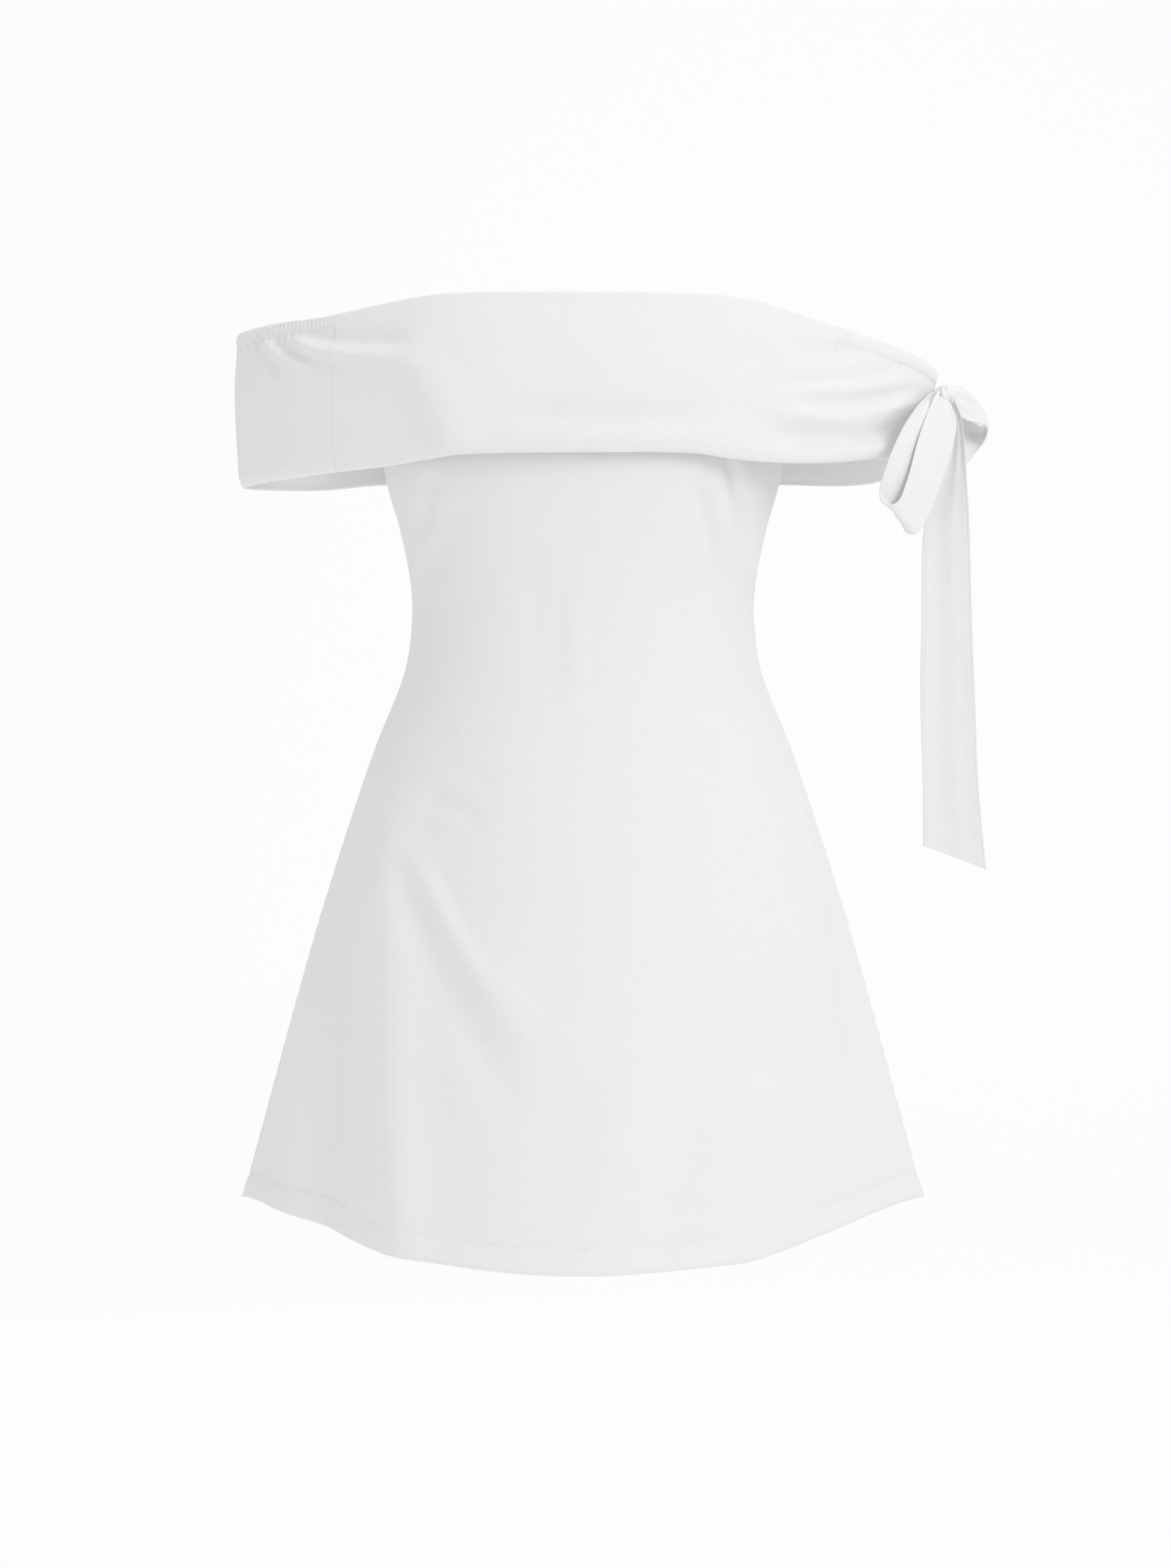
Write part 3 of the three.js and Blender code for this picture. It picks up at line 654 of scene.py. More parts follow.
def turn_outward(piece):
    """Turns a closed mesh's faces outward, worked out from its own volume."""
    mesh = piece.data
    mesh.calc_loop_triangles()
    corners = np.zeros(len(mesh.vertices) * 3)
    mesh.vertices.foreach_get("co", corners)
    corners = corners.reshape(-1, 3)
    triangles = np.zeros(len(mesh.loop_triangles) * 3, np.int32)
    mesh.loop_triangles.foreach_get("vertices", triangles)
    a, b, c = (corners[triangles.reshape(-1, 3)[:, i]] for i in range(3))
    if (a * np.cross(b, c)).sum() < 0:
        mesh.flip_normals()


def cloth_wall(name, outer, normals, thickness):
    """A closed thin wall of cloth over a grid of outer points, with rounded edges."""
    rows, columns = outer.shape[:2]
    total = rows * columns
    inner = outer - normals * thickness[..., None]
    u_length, v_length = distances(outer, 1), distances(outer, 0)
    u_length -= u_length[:, columns // 2][:, None]
    uv = np.stack([u_length, v_length], -1).reshape(-1, 2) * MM
    index = np.arange(total).reshape(rows, columns)
    away = np.zeros((rows, columns, 3))
    for edge, next_in in ((0, 1), (-1, -2)):
        away[edge] += unit(outer[edge] - outer[next_in])
        away[:, edge] += unit(outer[:, edge] - outer[:, next_in])
    ring = np.concatenate([index[0, :-1], index[:-1, -1], index[-1, :0:-1], index[:0:-1, 0]])
    away = away.reshape(-1, 3)[ring]
    flat_outer, flat_inner = outer.reshape(-1, 3)[ring], inner.reshape(-1, 3)[ring]
    half = thickness.reshape(-1)[ring][:, None] / 2
    points = [outer.reshape(-1, 3), inner.reshape(-1, 3)]
    uvs = [uv, uv]
    layers = [ring]
    start = 2 * total
    for turn in (0.22, 0.5, 0.78):
        bulge = math.sin(turn * math.pi) * half * away
        points.append(flat_outer * (1 - turn) + flat_inner * turn + bulge)
        uvs.append(uv[ring])
        layers.append(np.arange(start, start + len(ring)))
        start += len(ring)
    layers.append(ring + total)
    faces = [squares(index), back_squares(index + total)]
    for one, two in zip(layers, layers[1:]):
        faces.append(np.stack([np.roll(one, -1), one, two, np.roll(two, -1)], 1))
    faces = np.concatenate(faces).tolist()
    piece = mesh_object(name, np.concatenate(points), faces, np.concatenate(uvs))
    turn_outward(piece)
    return piece


def finish_piece(piece, node_names, material):
    """Puts a finished piece on the frame in place of its solids."""
    piece.data.materials.append(material)
    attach(piece, "root")
    if node_names:
        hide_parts(*node_names)
    return piece


class Value:
    """A socket of a shader, with arithmetic that adds the Math nodes."""

    def __init__(self, shader, socket):
        self.shader = shader
        self.socket = socket

    def math(self, operation, *others):
        inputs = dict(enumerate((self, *others)))
        return self.shader.node("ShaderNodeMath", {"operation": operation}, inputs)

    def __add__(self, other):
        return self.math("ADD", other)

    __radd__ = __add__

    def __mul__(self, other):
        return self.math("MULTIPLY", other)

    __rmul__ = __mul__

    def __sub__(self, other):
        return self.math("SUBTRACT", other)

    def __rsub__(self, other):
        return (self * -1) + other

    def sine(self):
        return self.math("SINE")

    def absolute(self):
        return self.math("ABSOLUTE")


class Shader:
    """The node tree of one material."""

    def __init__(self, name):
        self.material = bpy.data.materials.new(name)
        self.material.use_nodes = True
        self.tree = self.material.node_tree
        self.surface = self.tree.nodes["Principled BSDF"]

    def node(self, kind, settings=None, inputs=None, output=0):
        made = self.tree.nodes.new(kind)
        for key, value in (settings or {}).items():
            setattr(made, key, value)
        for key, value in (inputs or {}).items():
            self.feed(made.inputs[key], value)
        return Value(self, made.outputs[output])

    def place(self):
        """Places in the piece's own metres."""
        return self.node("ShaderNodeTexCoord", output=3)

    def noise(self, scale, detail):
        inputs = {"Vector": self.place(), "Scale": scale, "Detail": detail}
        return self.node("ShaderNodeTexNoise", inputs=inputs)

    def bump(self, height, strength, depth):
        inputs = {"Height": height, "Strength": strength, "Distance": depth}
        return self.node("ShaderNodeBump", inputs=inputs)

    def mix(self, share, dark, light):
        """A colour between two, held to their range."""
        settings = {"data_type": "RGBA", "clamp_factor": True}
        inputs = {0: share, 6: (*dark, 1), 7: (*light, 1)}
        return self.node("ShaderNodeMix", settings, inputs, output=2)

    def feed(self, socket, value):
        if isinstance(value, Value):
            self.tree.links.new(value.socket, socket)
        else:
            socket.default_value = value

    def set(self, **values):
        for key, value in values.items():
            self.feed(self.surface.inputs[key.replace("_", " ")], value)


def setting(name, description, default, **kind):
    return bpy.props.FloatProperty(name=name, description=description, default=default, **kind)


def factor_setting(name, description, default):
    return setting(name, description, default, subtype="FACTOR")


def length_setting(name, description, default):
    return setting(name, description, default, precision=5, unit="LENGTH")


def colour_setting(name, description, default):
    return bpy.props.FloatVectorProperty(
        name=name, description=description, default=default, size=3, subtype="COLOR"
    )


class DressCloth(bpy.types.PropertyGroup):
    """Cloth colours and finish."""

    colour: colour_setting("Cloth colour", "Base colour of the jersey", (0.83, 0.83, 0.822))
    roughness: factor_setting("Roughness", "Roughness of the jersey", 0.82)
    sheen: factor_setting("Sheen", "Soft sheen of the brushed face", 0.25)
    wale: length_setting("Wale pitch", "From one column of knit stitches to the next", 0.00085)
    course: length_setting("Course pitch", "From one row of knit stitches to the next", 0.0007)
    relief: factor_setting("Knit relief", "How far the knit stitches stand out", 0.5)
    thread_colour: colour_setting("Thread colour", "Colour of the thread", (0.84, 0.84, 0.83))


class DressSizes(bpy.types.PropertyGroup):
    """Sizes that the sewing sets."""

    cloth: length_setting("Cloth thickness", "One layer of jersey", 0.0011)
    double: length_setting("Double cloth", "The collar's two layers", 0.0022)
    hem: length_setting("Hem depth", "Hem edge to its stitching", 0.0175)
    casing: length_setting("Casing height", "Height of the tunnel over the elastic", 0.0092)
    ribs: bpy.props.IntProperty(
        name="Gathers", description="Gathers along each shoulder elastic", default=56
    )
    gather: length_setting("Gather height", "Height of the elastic's gathers", 0.0013)
    tie: length_setting("Tie thickness", "The pressed tie", 0.0015)
    stitch: length_setting("Stitch length", "Length of one sewing stitch", 0.0028)
    thread: length_setting("Thread", "Half thickness of the sewing thread", 0.0002)


class DressStage(bpy.types.PropertyGroup):
    """Floor, light and camera."""

    floor: length_setting("Floor height", "Height of the floor in the part's frame", -1.25)
    wall: length_setting("Wall distance", "Distance of the backdrop behind the dress", 3.0)
    camera_distance: length_setting("Camera distance", "From camera to the dress's middle", 1.85)
    camera_height: length_setting("Camera height", "The camera's height in the frame", -0.2783)
    camera_side: length_setting("Camera side", "The camera's place across the dress", 0.0019)
    frame_height: length_setting("Frame height", "Height that the picture takes in", 1.21715)


def jersey(name):
    """White jersey: columns and rows of knit stitches under a soft brushed face, with shade painted
    into the colour between the stitches.
    """
    if name in bpy.data.materials:
        return bpy.data.materials[name]
    cloth = bpy.context.scene.dress_cloth
    shader = Shader(name)
    unrolled = shader.node("ShaderNodeTexCoord", output=2)
    across = shader.node("ShaderNodeSeparateXYZ", inputs={0: unrolled}, output=0)
    down = shader.node("ShaderNodeSeparateXYZ", inputs={0: unrolled}, output=1)
    wale = across * (2 * math.pi / cloth.wale)
    course = down * (2 * math.pi / cloth.course)
    columns = (wale * 0.5).sine().absolute()
    loops = (course + columns * 2.6).sine() * 0.5 + 0.5
    fuzz = shader.noise(FUZZ_SCALE, 4)
    slub = shader.noise(SLUB_SCALE, 5)
    height = (loops * 0.35 + columns * 0.65) * 0.6 + fuzz * 0.5 + slub * 0.25
    # Painted shade: the colour is lighter on the raised knit stitches and darker in the grooves
    # between them.
    knit_groove_painted_shade = (columns - 0.6) * 0.18 + (loops - 0.5) * 0.12
    # Random tone of the fuzz and the slubs, with the knit's painted shade added.
    random_tone_and_painted_shade = (fuzz - 0.5) * 0.3 + (slub - 0.5) * 0.16 + knit_groove_painted_shade + 0.5
    light = [min(1, c * 1.05) for c in cloth.colour]
    dark = [c * 0.93 for c in cloth.colour]
    shader.set(
        Base_Color=shader.mix(random_tone_and_painted_shade, dark, light),
        Roughness=(fuzz - 0.5) * 0.1 + cloth.roughness,
        Normal=shader.bump(height, cloth.relief, KNIT_DEPTH),
        Sheen_Weight=cloth.sheen,
        Sheen_Roughness=0.45,
        Specular_IOR_Level=0.3,
    )
    return shader.material


def thread(name):
    """Spun sewing thread: a fine twist, with shade painted into the colour along the twist's
    grooves.
    """
    if name in bpy.data.materials:
        return bpy.data.materials[name]
    colour = bpy.context.scene.dress_cloth.thread_colour
    shader = Shader(name)
    twist = shader.node(
        "ShaderNodeTexWave",
        {"bands_direction": "DIAGONAL"},
        {"Vector": shader.place(), "Scale": TWIST_SCALE, "Distortion": 1.5, "Detail": 1},
        output=1,
    )
    # Painted shade: the thread's colour darkens in the twist's grooves, where the bump sinks.
    shader.set(
        Base_Color=shader.mix(twist, [c * 0.94 for c in colour], colour),
        Roughness=0.6,
        Normal=shader.bump(twist, 0.4, TWIST_DEPTH),
        Sheen_Weight=0.2,
    )
    return shader.material


def plain_paint(name, colour, roughness, glow):
    """Matt paint of the floor and the backdrop."""
    shader = Shader(name)
    grain = shader.noise(3, 2)
    shader.set(
        Base_Color=shader.mix(grain, [c * 0.995 for c in colour], colour),
        Roughness=roughness,
        Emission_Color=(1, 1, 1, 1),
        Emission_Strength=glow,
    )
    return shader.material


def body_top(share):
    """The height of the body's top edge."""
    return NECK_HEIGHT - smoothstep(np.abs(share), *NECK_FALL) * (NECK_HEIGHT - ARM_HEIGHT)


def body_bottom(side, share):
    """The height of the hem."""
    plan = BODY_SECTIONS[-1]
    across, out = quarter(share, plan.flat, plan.tip, plan.round)
    x = plan.half * across * (-side)
    height = plan.z + (HEM_SIDE_RISE * np.sin((1 - out) * math.pi / 2) + HEM_LIFT)
    for dip in HEM_DIPS:
        height = height - dip.deep * bump(x, dip.x, dip.wide)
    return height


def body_panel(name, side):
    """A panel of the body, with its turned hem, its folds and its seam edges."""
    columns, rows = BODY_GRIDS[side]
    form = body_form(side)
    share = even_shares(form, BODY_COLUMN_HEIGHT, columns)
    top, bottom = body_top(share), body_bottom(side, share)
    z = top + (bottom - top) * np.linspace(0, 1, rows + 1)[:, None]
    share = np.broadcast_to(share, z.shape)
    plain = form(share, z)
    x = plain[..., 0]
    normals = level_normals(form, share, z, side)
    lift = fold_lift(BODY_FOLDS[side], x, z)
    lift += BODY_DENT * unevenness(x, z, BODY_DENT_SIZE, BODY_SEED + side)
    lift *= smoothstep(1 - np.abs(share), 0, SEAM_FADE)
    above = z - bottom
    hem = size("hem")
    lift -= HEM_GROOVE * bump(above, hem, HEM_GROOVE_WIDTH)
    lift += HEM_STEP * smoothstep(hem - above, 0, HEM_STEP_WIDTH)
    lift += HEM_FLARE * smoothstep(hem - above, 0, hem + HEM_FLARE_REACH)
    drift = 2 * unevenness(x, z, HEM_PUCKER_DRIFT, PUCKER_SEED)
    pucker = np.sin(x * 2 * math.pi / HEM_PUCKER_PITCH + drift)
    lift += HEM_PUCKER * pucker * bump(above, hem - 1, HEM_PUCKER_WIDTH)
    from_seam = (1 - np.abs(share)) * HALF_PANEL
    uneven = 0.6 + 0.4 * np.sin(z * 2 * math.pi / SEAM_PUCKER_PITCH)
    lift -= SEAM_GROOVE * bump(from_seam, 0, SEAM_GROOVE_WIDTH) * uneven
    outer = plain + normals * lift[..., None]
    wall = square_to_seams(grid_normals(outer, normals))
    layers = 1 + smoothstep(hem + 1 - above, 0, HEM_STEP_WIDTH)
    sewing_lines["hems"].append((outer, wall))
    return cloth_wall(name, outer, wall, size("cloth") * layers)


def rib_phase(arm):
    """The place of each share along a shoulder's elastic, counted in gathers from its tip."""
    share = np.linspace(1, CASING_START, 400)
    lengths = {}
    for side in (FRONT, BACK):
        top = collar_edge(side, arm * share, "top")
        lengths[side] = distances(collar_form(side)(arm * share, top))
    pitch = (lengths[FRONT][-1] + lengths[BACK][-1]) / bpy.context.scene.dress_sizes.ribs

    def phase(side, shares):
        return np.interp(1 - np.abs(shares), 1 - share, lengths[side]) / pitch

    return phase


def gathers(phase, seed):
    """Gathers of uneven height and pitch, from -1 to 1, at places counted in gathers."""
    chance = np.random.default_rng(seed)
    drift = sum(
        chance.uniform(0.4, 1) * np.sin(phase * f + chance.uniform(0, 6)) for f in (0.31, 0.73, 1.27)
    )
    tall = 0.75 + 0.25 * np.sin(phase * 1.7 + chance.uniform(0, 6))
    return tall * np.cos(2 * math.pi * phase + GATHER_DRIFT * drift)


def gather_height(arm):
    """The height of a shoulder's gathers, which the bow pulls nearly flat at the left."""
    return size("gather") * (1 if arm == RIGHT else LEFT_GATHERS)


def collar_panel(name, side):
    """Half of the folded collar, gathered under each elastic and rolled at its bottom fold."""
    columns, rows = COLLAR_GRIDS[side]
    form = collar_form(side)
    share = even_shares(form, COLLAR_COLUMN_HEIGHT, columns)
    corners = [arm * (CASING_START + step) for arm in (RIGHT, LEFT) for step in NOTCH_STEPS]
    share = np.sort(np.concatenate([share, corners]))
    under_casing = np.abs(share) > CASING_START - NOTCH_EDGE
    notch = np.where(under_casing, size("casing") + NOTCH_GAP, 0)
    top, bottom = collar_edge(side, share, "top"), collar_edge(side, share, "bottom") + RIM
    down = np.linspace(0, 1, rows + 1)[:, None]
    z = top + (bottom - top) * down - notch * (1 - down) ** NOTCH_BEND
    below = top - notch - z
    above = z - bottom
    share = np.broadcast_to(share, z.shape)
    plain = form(share, z)
    x = plain[..., 0]
    normals = level_normals(form, share, z, side)
    lift = fold_lift(COLLAR_FOLDS[side], x, z)
    lift += COLLAR_DENT * unevenness(x, z, COLLAR_DENT_SIZE, COLLAR_SEED + side)
    lift *= smoothstep(1 - np.abs(share), 0, SEAM_FADE)
    lift -= ROLL_IN * bump(above, ROLL_IN_AT, ROLL_IN_WIDTH)
    lift += (SWELL + SWELL_DRIFT * np.sin(x / SWELL_PITCH)) * bump(above, SWELL_AT, ROLL_WIDTH)
    for arm in (RIGHT, LEFT):
        phase = rib_phase(arm)(side, share) / 2
        grown = smoothstep(np.abs(share), CASING_START, CASING_START + GATHER_START)
        here = (share * arm > CASING_START) * grown
        long, longer, short = GATHER_REACH
        reach = long + longer * np.sin(phase * 1.9 + arm) + short * np.sin(phase * 4.9)
        waves = gather_height(arm) * gathers(phase, GATHER_SEED + arm)
        lift += here * waves * np.exp(-below / reach)
        lift -= UNDER_CASING * here * bump(below, 0, UNDER_CASING_WIDTH)
    outer = plain + normals * lift[..., None]
    wall = square_to_seams(normals)
    for arm in (RIGHT, LEFT):
        chosen = share[0] * arm > CASING_START
        line = outer[:, chosen]
        depth = line[0, :, 2] - line[..., 2]
        stitches = [
            places(CASING_STITCH_DROP, depth[:, j], line[:, j]) for j in range(line.shape[1])
        ]
        sewing_lines["casings"].append((np.array(stitches), wall[1, chosen]))
    thickness = size("double") + ROLL_THICKNESS * bump(above, 0, ROLL_WIDTH)
    return cloth_wall(name, outer, wall, thickness)


def shoulder_casing(name, arm):
    """The gathered tunnel over one shoulder's elastic, from the front of the arm to the back."""
    columns, rows = CASING_GRID
    u = np.linspace(-1, 1, columns + 1)
    share = arm * (1 - np.abs(u) * (1 + CASING_RUN_ON - CASING_START))
    down = np.linspace(0, 1, rows + 1)[:, None]
    drop = down * size("casing")
    belly = np.sin(np.pi * down)
    outer = np.zeros((rows + 1, columns + 1, 3))
    normals = np.zeros_like(outer)
    ribs = rib_phase(arm)
    for side, chosen in ((FRONT, u <= 0), (BACK, u > 0)):
        s = share[chosen]
        z = collar_edge(side, s, "top") - drop
        s = np.broadcast_to(s, z.shape)
        form = collar_form(side)
        plain = form(s, z)
        normals[:, chosen] = level_normals(form, s, z, side)
        wave = 2 * np.sqrt((1 + gathers(ribs(side, s), GATHER_SEED + arm)) / 2) - 1
        from_end = 1 - np.abs(u[chosen])
        taper = smoothstep(from_end, 0, CASING_END_FADE)
        taper *= 0.45 + 0.55 * smoothstep(from_end, *CASING_RIB_GROWTH)
        lift = CASING_LIFT + CASING_RIB * gather_height(arm) * wave * (0.7 + 0.5 * belly) * taper
        lift += CASING_BELLY * taper * belly
        fade = smoothstep(1 - np.abs(s), 0, SEAM_FADE)
        lift += fade * fold_lift(COLLAR_FOLDS[side], plain[..., 0], z)
        outer[:, chosen] = plain + normals[:, chosen] * lift[..., None]
        outer[:, chosen, 2] += CASING_EDGE_RIPPLE * wave * taper * (1 - down)
    middle = columns // 2
    normals[:, middle] = (arm, 0, 0)
    outer[:, middle, 1] = 0
    thickness = np.full(outer.shape[:2], size("double"))
    return cloth_wall(name, outer, normals, thickness)


def rail(points, u):
    """Places along a smooth curve through points."""
    points = np.asarray(points, float)
    before, after = 2 * points[0] - points[1], 2 * points[-1] - points[-2]
    padded = np.concatenate([[before], points, [after]])
    at = u * (len(points) - 1)
    i = np.clip(at.astype(int), 0, len(points) - 2)
    t = (at - i)[:, None]
    p0, p1, p2, p3 = (padded[i + k] for k in range(4))
    leaving = (t**3 - 2 * t**2 + t) * 0.5 * (p2 - p0)
    arriving = (t**3 - t**2) * 0.5 * (p3 - p1)
    return (2 * t**3 - 3 * t**2 + 1) * p1 + leaving + (3 * t**2 - 2 * t**3) * p2 + arriving


def tie_strip(name, rungs, steps, across, camber, pleated_ends, seed, creases):
    """A stretch of the tie: a pressed double strip with turned edges, pleated at the knot."""
    u = np.linspace(0, 1, steps + 1)
    a = rail([(r.ax, r.ay, r.az) for r in rungs], u)
    b = rail([(r.bx, r.by, r.bz) for r in rungs], u)
    v = 0.5 - 0.5 * np.cos(np.linspace(0, math.pi, across + 1))
    middle = a[:, None] + (b - a)[:, None] * v[None, :, None]
    rows, columns = middle.shape[:2]
    normals = grid_normals(middle, np.ones(3))
    width = np.linalg.norm(b - a, axis=1)[:, None]
    length = distances((a + b) / 2)[:, None]
    gap = np.minimum(length, length[-1] - length) if pleated_ends == 2 else length
    pleats = PLEAT * np.cos(2 * math.pi * (PLEAT_COUNT * v + 0.1))
    lift = camber * 4 * v * (1 - v)
    lift = lift + pleats * np.exp(-gap / PLEAT_REACH) * np.minimum(1, width / FULL_WIDTH)
    lift = lift + TIE_DENT * unevenness(v * width, length + 0 * v, TIE_DENT_SIZE, seed)
    fade = smoothstep(length / length[-1], 0, CREASE_FADE)
    drifting = v + CREASE_DRIFT * np.sin(length / CREASE_DRIFT_PITCH)
    for place, wide, high in creases:
        lift = lift + high * fade * bump(drifting, place, wide)
    half = size("tie") / 2
    from_edge = np.minimum(v, 1 - v) * width
    full = half * np.sqrt(np.clip(1 - (1 - np.clip(from_edge / half, 0, 1)) ** 2, 0, 1))
    groove = bump(from_edge, EDGE_GROOVE_IN, EDGE_GROOVE_WIDTH) * (width > EDGE_GROOVE_FROM)
    full -= EDGE_GROOVE * groove
    top = middle + normals * (lift + full)[..., None]
    low = middle + normals * (lift - full)[..., None]
    index = np.arange(rows * columns).reshape(rows, columns)
    under = rows * columns + np.arange(rows * (columns - 2)).reshape(rows, columns - 2)
    under = np.concatenate([index[:, :1], under, index[:, -1:]], 1)
    faces = np.concatenate([squares(index), back_squares(under)]).tolist()
    for row, turn in ((0, 1), (-1, -1)):
        faces.append(np.concatenate([index[row], under[row, -2:0:-1]])[::turn].tolist())
    uv = np.stack([(v - 0.5) * width, np.broadcast_to(length, (rows, columns))], -1) * MM
    points = np.concatenate([top.reshape(-1, 3), low[:, 1:-1].reshape(-1, 3)])
    uvs = np.concatenate([uv.reshape(-1, 2), uv[:, 1:-1].reshape(-1, 2)])
    piece = mesh_object(name, points, faces, uvs)
    turn_outward(piece)
    return piece, top, normals


def knot_lump(name):
    """The bow's knot: the strip pulled tight round itself, with pleats running into it."""
    low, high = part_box("tie_knot")
    centre = np.array((low + high) / 2) / MM
    half = np.array((high - low) / 2) / MM
    polar = np.linspace(0, math.pi, KNOT_RINGS + 1)[:, None]
    turn = np.linspace(0, 2 * math.pi, KNOT_SIDES, endpoint=False)[None]
    spread, up = np.sin(polar), np.cos(polar)
    pleats = KNOT_PLEAT * np.cos(7 * turn + 2.4 * up) + KNOT_FINE_PLEAT * np.cos(11 * turn + 2)
    band = KNOT_BAND * bump(up, 0.1, 0.42) - KNOT_HOLLOW * bump(up, 0.62, 0.12)
    radius = 1 + (pleats + band) * spread
    points = np.stack(
        [radius * spread * np.cos(turn), radius * spread * np.sin(turn), radius * up], -1
    )
    points = points * half * KNOT_SHARE + centre
    index = np.arange((KNOT_RINGS + 1) * KNOT_SIDES).reshape(KNOT_RINGS + 1, KNOT_SIDES)
    after = np.roll(index, -1, 1)
    faces = np.stack([index[:-1], index[1:], after[1:], after[:-1]], -1).reshape(-1, 4)
    uv = np.stack([turn * half[0] + 0 * polar, polar * half[2] + 0 * turn], -1).reshape(-1, 2)
    return mesh_object(name, points.reshape(-1, 3), faces.tolist(), uv * MM)


def stitch_row(points, normals, length, radius):
    """Points and faces of a row of sewing stitches along a line on the cloth."""
    along = distances(points)
    rings = len(STITCH_SINK)
    corners, faces = [], []
    turn = np.linspace(0, 2 * math.pi, STITCH_SIDES, endpoint=False)[None, :, None]
    starts = np.arange(STITCH_START, along[-1] - length, length * STITCH_PITCH)
    for k, start in enumerate(starts):
        at = start + np.linspace(0, length, rings)
        line = places(at, along, points)
        up = unit(places(at, along, normals))
        beside = np.cross(unit(np.gradient(line, axis=0)), up)
        ring = beside[:, None] * np.cos(turn) + up[:, None] * np.sin(turn)
        sunk = line + up * STITCH_SINK[:, None] * radius
        ring = sunk[:, None] + ring * STITCH_SWELL[:, None, None] * radius
        corners.append(ring.reshape(-1, 3))
        index = (k * rings * STITCH_SIDES + np.arange(rings * STITCH_SIDES)).reshape(rings, -1)
        after = np.roll(index, -1, 1)
        sides = np.stack([index[:-1], after[:-1], after[1:], index[1:]], -1)
        faces += sides.reshape(-1, 4).tolist()
        faces += [index[0][::-1].tolist(), index[-1].tolist()]
    return np.concatenate(corners), faces


def stitched(name, rows):
    """One piece of many stitches, from rows of points and directions."""
    points, faces, count = [], [], 0
    for line, normals in rows:
        p, f = stitch_row(line, normals, size("stitch"), size("thread"))
        points.append(p)
        faces += [[i + count for i in face] for face in f]
        count += len(p)
    piece = mesh_object(name, np.concatenate(points), faces)
    return finish_piece(piece, [], thread("sewing_thread"))


sewing_lines = {"hems": [], "casings": [], "tails": []}


class DRESS_OT_body(bpy.types.Operator):
    """Build the front and back of the body"""

    bl_idname = "dress.body"
    bl_label = "Body panels"

    def execute(self, context):
        cuts = (("front", FRONT, (0.72, 0.72), 0.345), ("back", BACK, (0.70, 0.71), 0.33))
        for word, side, flat, area in cuts:
            panel = body_panel("body_" + word, side)
            finish_piece(panel, ["dress_" + word], jersey("body_jersey"))
        return {"FINISHED"}


class DRESS_OT_collar(bpy.types.Operator):
    """Build the folded collar, front and back"""

    bl_idname = "dress.collar"
    bl_label = "Collar"

    def execute(self, context):
        for word, side, flat in (("front", FRONT, (0.63, 0.13)), ("back", BACK, (0.60, 0.12))):
            panel = collar_panel(f"collar_{word}_fold", side)
            finish_piece(panel, ["collar_" + word], jersey("collar_jersey"))
        return {"FINISHED"}


class DRESS_OT_shoulders(bpy.types.Operator):
    """Build the gathered elastic tunnels at both shoulders"""

    bl_idname = "dress.shoulders"
    bl_label = "Shoulder elastics"

    def execute(self, context):
        for arm, word in ((RIGHT, "right"), (LEFT, "left")):
            casing = shoulder_casing("elastic_casing_" + word, arm)
            cloth = jersey("collar_jersey")
            finish_piece(casing, ["shoulder_elastic_" + word], cloth)
        return {"FINISHED"}


class DRESS_OT_tie(bpy.types.Operator):
    """Build the bow: its knot, two loops and two tails"""

    bl_idname = "dress.tie"
    bl_label = "Tie bow"

    def execute(self, context):
        cloth = jersey("tie_jersey")
        knot = knot_lump("bow_knot")
        finish_piece(knot, ["tie_knot"], cloth)
        # Name, rungs, steps along and across, camber, pleated ends, flat size and creases.
        strips = (
            ("front_loop", FRONT_LOOP, 150, 40, 1.5, 2, (0.030, 0.25), ((0.35, 0.1, 0.6),)),
            ("back_loop", BACK_LOOP, 110, 32, 1, 2, (0.028, 0.16), ((0.6, 0.08, -0.8),)),
            ("front_tail", FRONT_TAIL, 170, 44, 1.5, 1, (0.038, 0.36), TAIL_CREASES),
            ("back_tail", BACK_TAIL, 130, 32, 1, 1, (0.030, 0.33), ((0.5, 0.12, 0.8),)),
        )
        for i, (word, rungs, steps, across, camber, ends, flat, creases) in enumerate(strips):
            piece, top, normals = tie_strip(
                "bow_" + word, rungs, steps, across, camber, ends, TIE_SEED + i, creases
            )
            if ends == 1:
                sewing_lines["tails"].append((top, normals))
            finish_piece(piece, ["tie_" + word], cloth)
        return {"FINISHED"}


class DRESS_OT_sewing(bpy.types.Operator):
    """Sew the hem, the casings and the tie's ends"""

    bl_idname = "dress.sewing"
    bl_label = "Sewing"

    def execute(self, context):
        hem, hems = size("hem"), []
        for outer, normals in sewing_lines["hems"]:
            above = outer[..., 2] - outer[-1, :, 2]
            line, ups = [], []
            for j in range(outer.shape[1]):
                order = np.argsort(above[:, j])
                line.append(places(hem, above[order, j], outer[order, j]))
                ups.append(places(hem, above[order, j], normals[order, j]))
            hems.append((np.array(line), np.array(ups)))
        stitched("hem_stitching", hems)
        stitched("casing_stitching", sewing_lines["casings"])
        tails = []
        for top, normals in sewing_lines["tails"]:
            from_end = distances(top[::-1, TAIL_COLUMN])[1:]
            row = -2 - int(np.searchsorted(from_end, TAIL_STITCH_IN))
            tails.append((top[row, TAIL_MARGIN], normals[row, TAIL_MARGIN]))
        stitched("tail_stitching", tails)
        return {"FINISHED"}


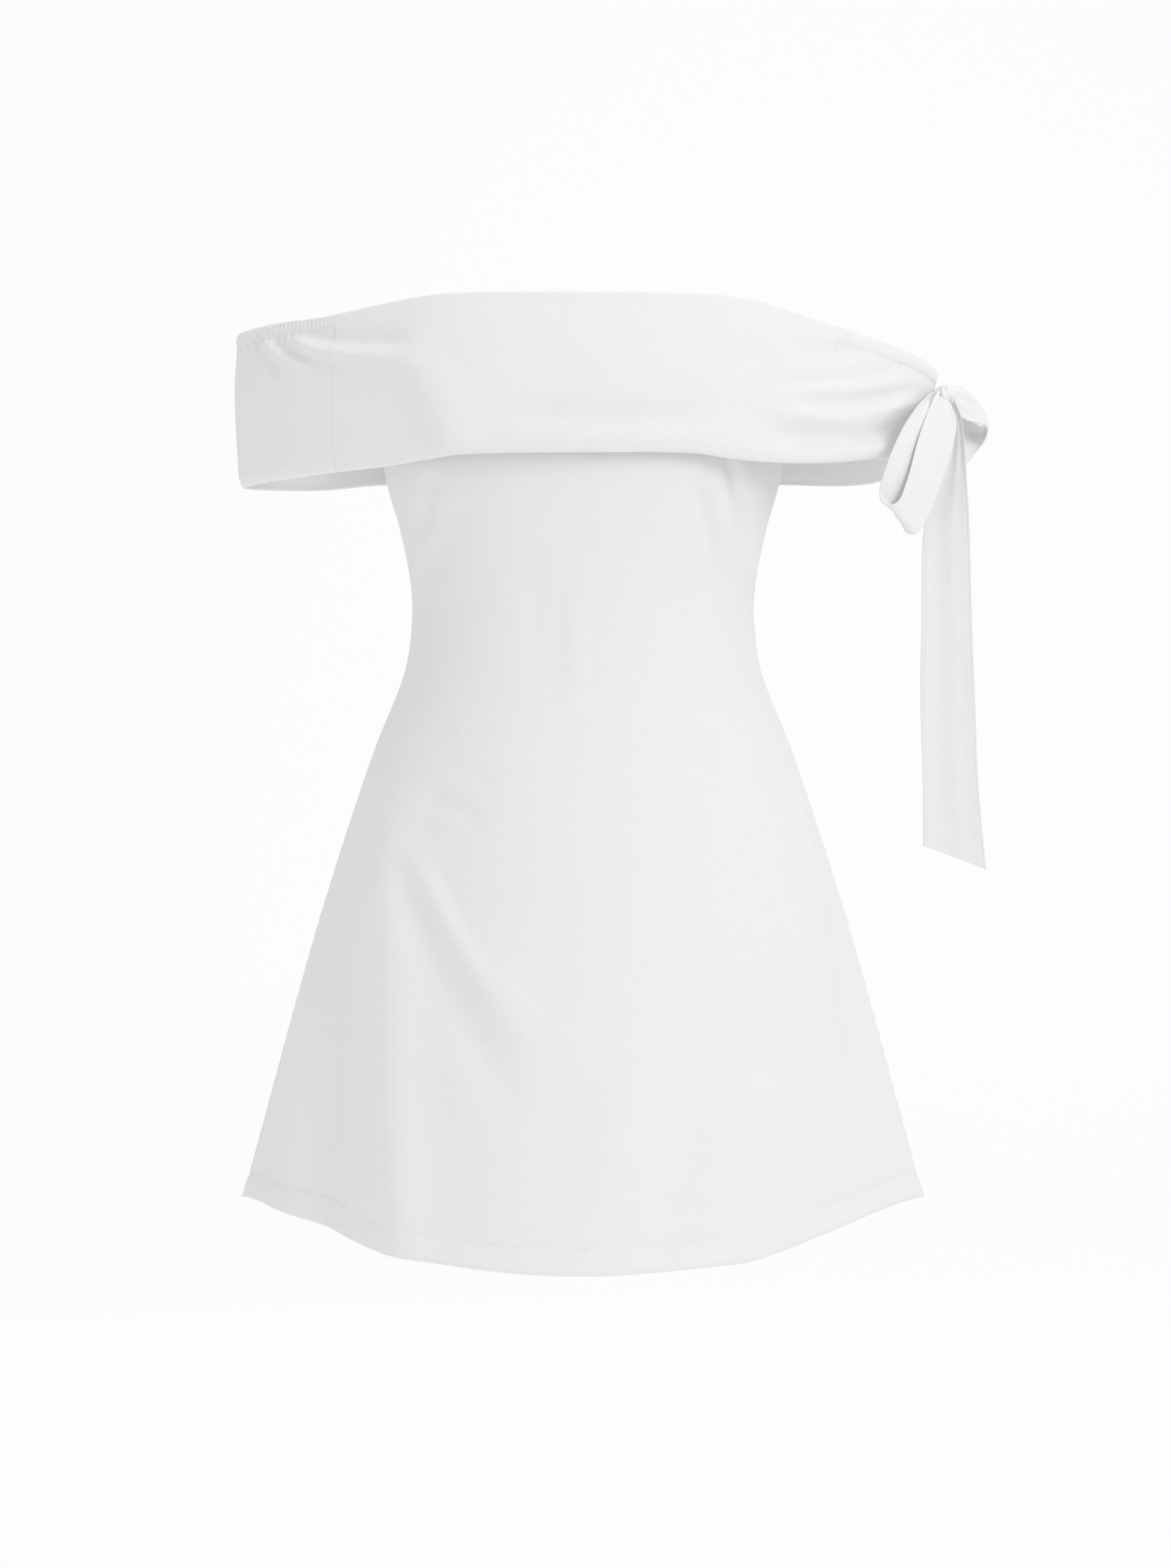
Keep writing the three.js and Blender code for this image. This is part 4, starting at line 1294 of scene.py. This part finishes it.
class DRESS_OT_stage(bpy.types.Operator):
    """Set the floor, the backdrop, the light and the camera"""

    bl_idname = "dress.stage"
    bl_label = "Stage"

    def execute(self, context):
        scene = context.scene
        stage = scene.dress_stage
        bend = stage.wall - STAGE_CURVE
        profile = [(STAGE_FRONT, stage.floor)]
        for i in range(STAGE_STEPS + 1):
            angle = i / STAGE_STEPS * math.pi / 2
            rise = STAGE_CURVE * (1 - math.cos(angle))
            profile.append((bend + STAGE_CURVE * math.sin(angle), stage.floor + rise))
        profile.append((stage.wall, STAGE_TOP))
        sides = (-STAGE_HALF_WIDTH, STAGE_HALF_WIDTH)
        points = [(x, y, z) for y, z in profile for x in sides]
        faces = [(2 * i, 2 * i + 1, 2 * i + 3, 2 * i + 2) for i in range(len(profile) - 1)]
        floor = mesh_object("stage_floor", np.array(points) / MM, faces)
        paint = plain_paint("stage_paint", STAGE_GREY, STAGE_ROUGHNESS, STAGE_GLOW)
        floor.data.materials.append(paint)
        world = bpy.data.worlds.new("studio")
        scene.world = world
        world.use_nodes = True
        background = world.node_tree.nodes["Background"]
        background.inputs[0].default_value = (1, 1, 1, 1)
        background.inputs[1].default_value = WORLD_STRENGTH
        for lamp in LAMPS:
            data = bpy.data.lights.new(lamp.name, "AREA")
            data.size, data.energy = lamp.size, lamp.power
            light = bpy.data.objects.new(lamp.name, data)
            light.location = lamp.place
            ray = Vector(lamp.aim) - Vector(lamp.place)
            light.rotation_euler = ray.to_track_quat("-Z", "Y").to_euler()
            scene.collection.objects.link(light)
        data = bpy.data.cameras.new("camera")
        data.sensor_width = SENSOR_WIDTH
        data.lens = SENSOR_WIDTH * stage.camera_distance / stage.frame_height
        camera = bpy.data.objects.new("camera", data)
        camera.location = (stage.camera_side, -stage.camera_distance, stage.camera_height)
        camera.rotation_euler = (math.pi / 2, 0, 0)
        scene.collection.objects.link(camera)
        scene.camera = camera
        scene.view_settings.view_transform = "Standard"
        return {"FINISHED"}


class DRESS_PT_panel(bpy.types.Panel):
    """The dress's pieces, sizes and stage"""

    bl_idname = "DRESS_PT_panel"
    bl_label = "Off-shoulder dress"
    bl_space_type = "VIEW_3D"
    bl_region_type = "UI"
    bl_category = "Dress"

    def draw(self, context):
        for name in GROUPS:
            group = getattr(context.scene, name)
            box = self.layout.box()
            for setting in group.__annotations__:
                box.prop(group, setting)
        for operator in OPERATORS:
            self.layout.operator(operator.bl_idname)


GROUPS = {"dress_cloth": DressCloth, "dress_sizes": DressSizes, "dress_stage": DressStage}
OPERATORS = (
    DRESS_OT_body,
    DRESS_OT_collar,
    DRESS_OT_shoulders,
    DRESS_OT_tie,
    DRESS_OT_sewing,
    DRESS_OT_stage,
)


def register():
    for group in GROUPS.values():
        bpy.utils.register_class(group)
    for name, group in GROUPS.items():
        setattr(bpy.types.Scene, name, bpy.props.PointerProperty(type=group))
    for item in (*OPERATORS, DRESS_PT_panel):
        bpy.utils.register_class(item)


def unregister():
    for item in (*OPERATORS, DRESS_PT_panel):
        bpy.utils.unregister_class(item)
    for name in GROUPS:
        delattr(bpy.types.Scene, name)
    for group in GROUPS.values():
        bpy.utils.unregister_class(group)


def main():
    register()
    bpy.ops.dress.body()
    bpy.ops.dress.collar()
    bpy.ops.dress.shoulders()
    bpy.ops.dress.tie()
    bpy.ops.dress.sewing()
    bpy.ops.dress.stage()


if __name__ == "__main__":
    main()
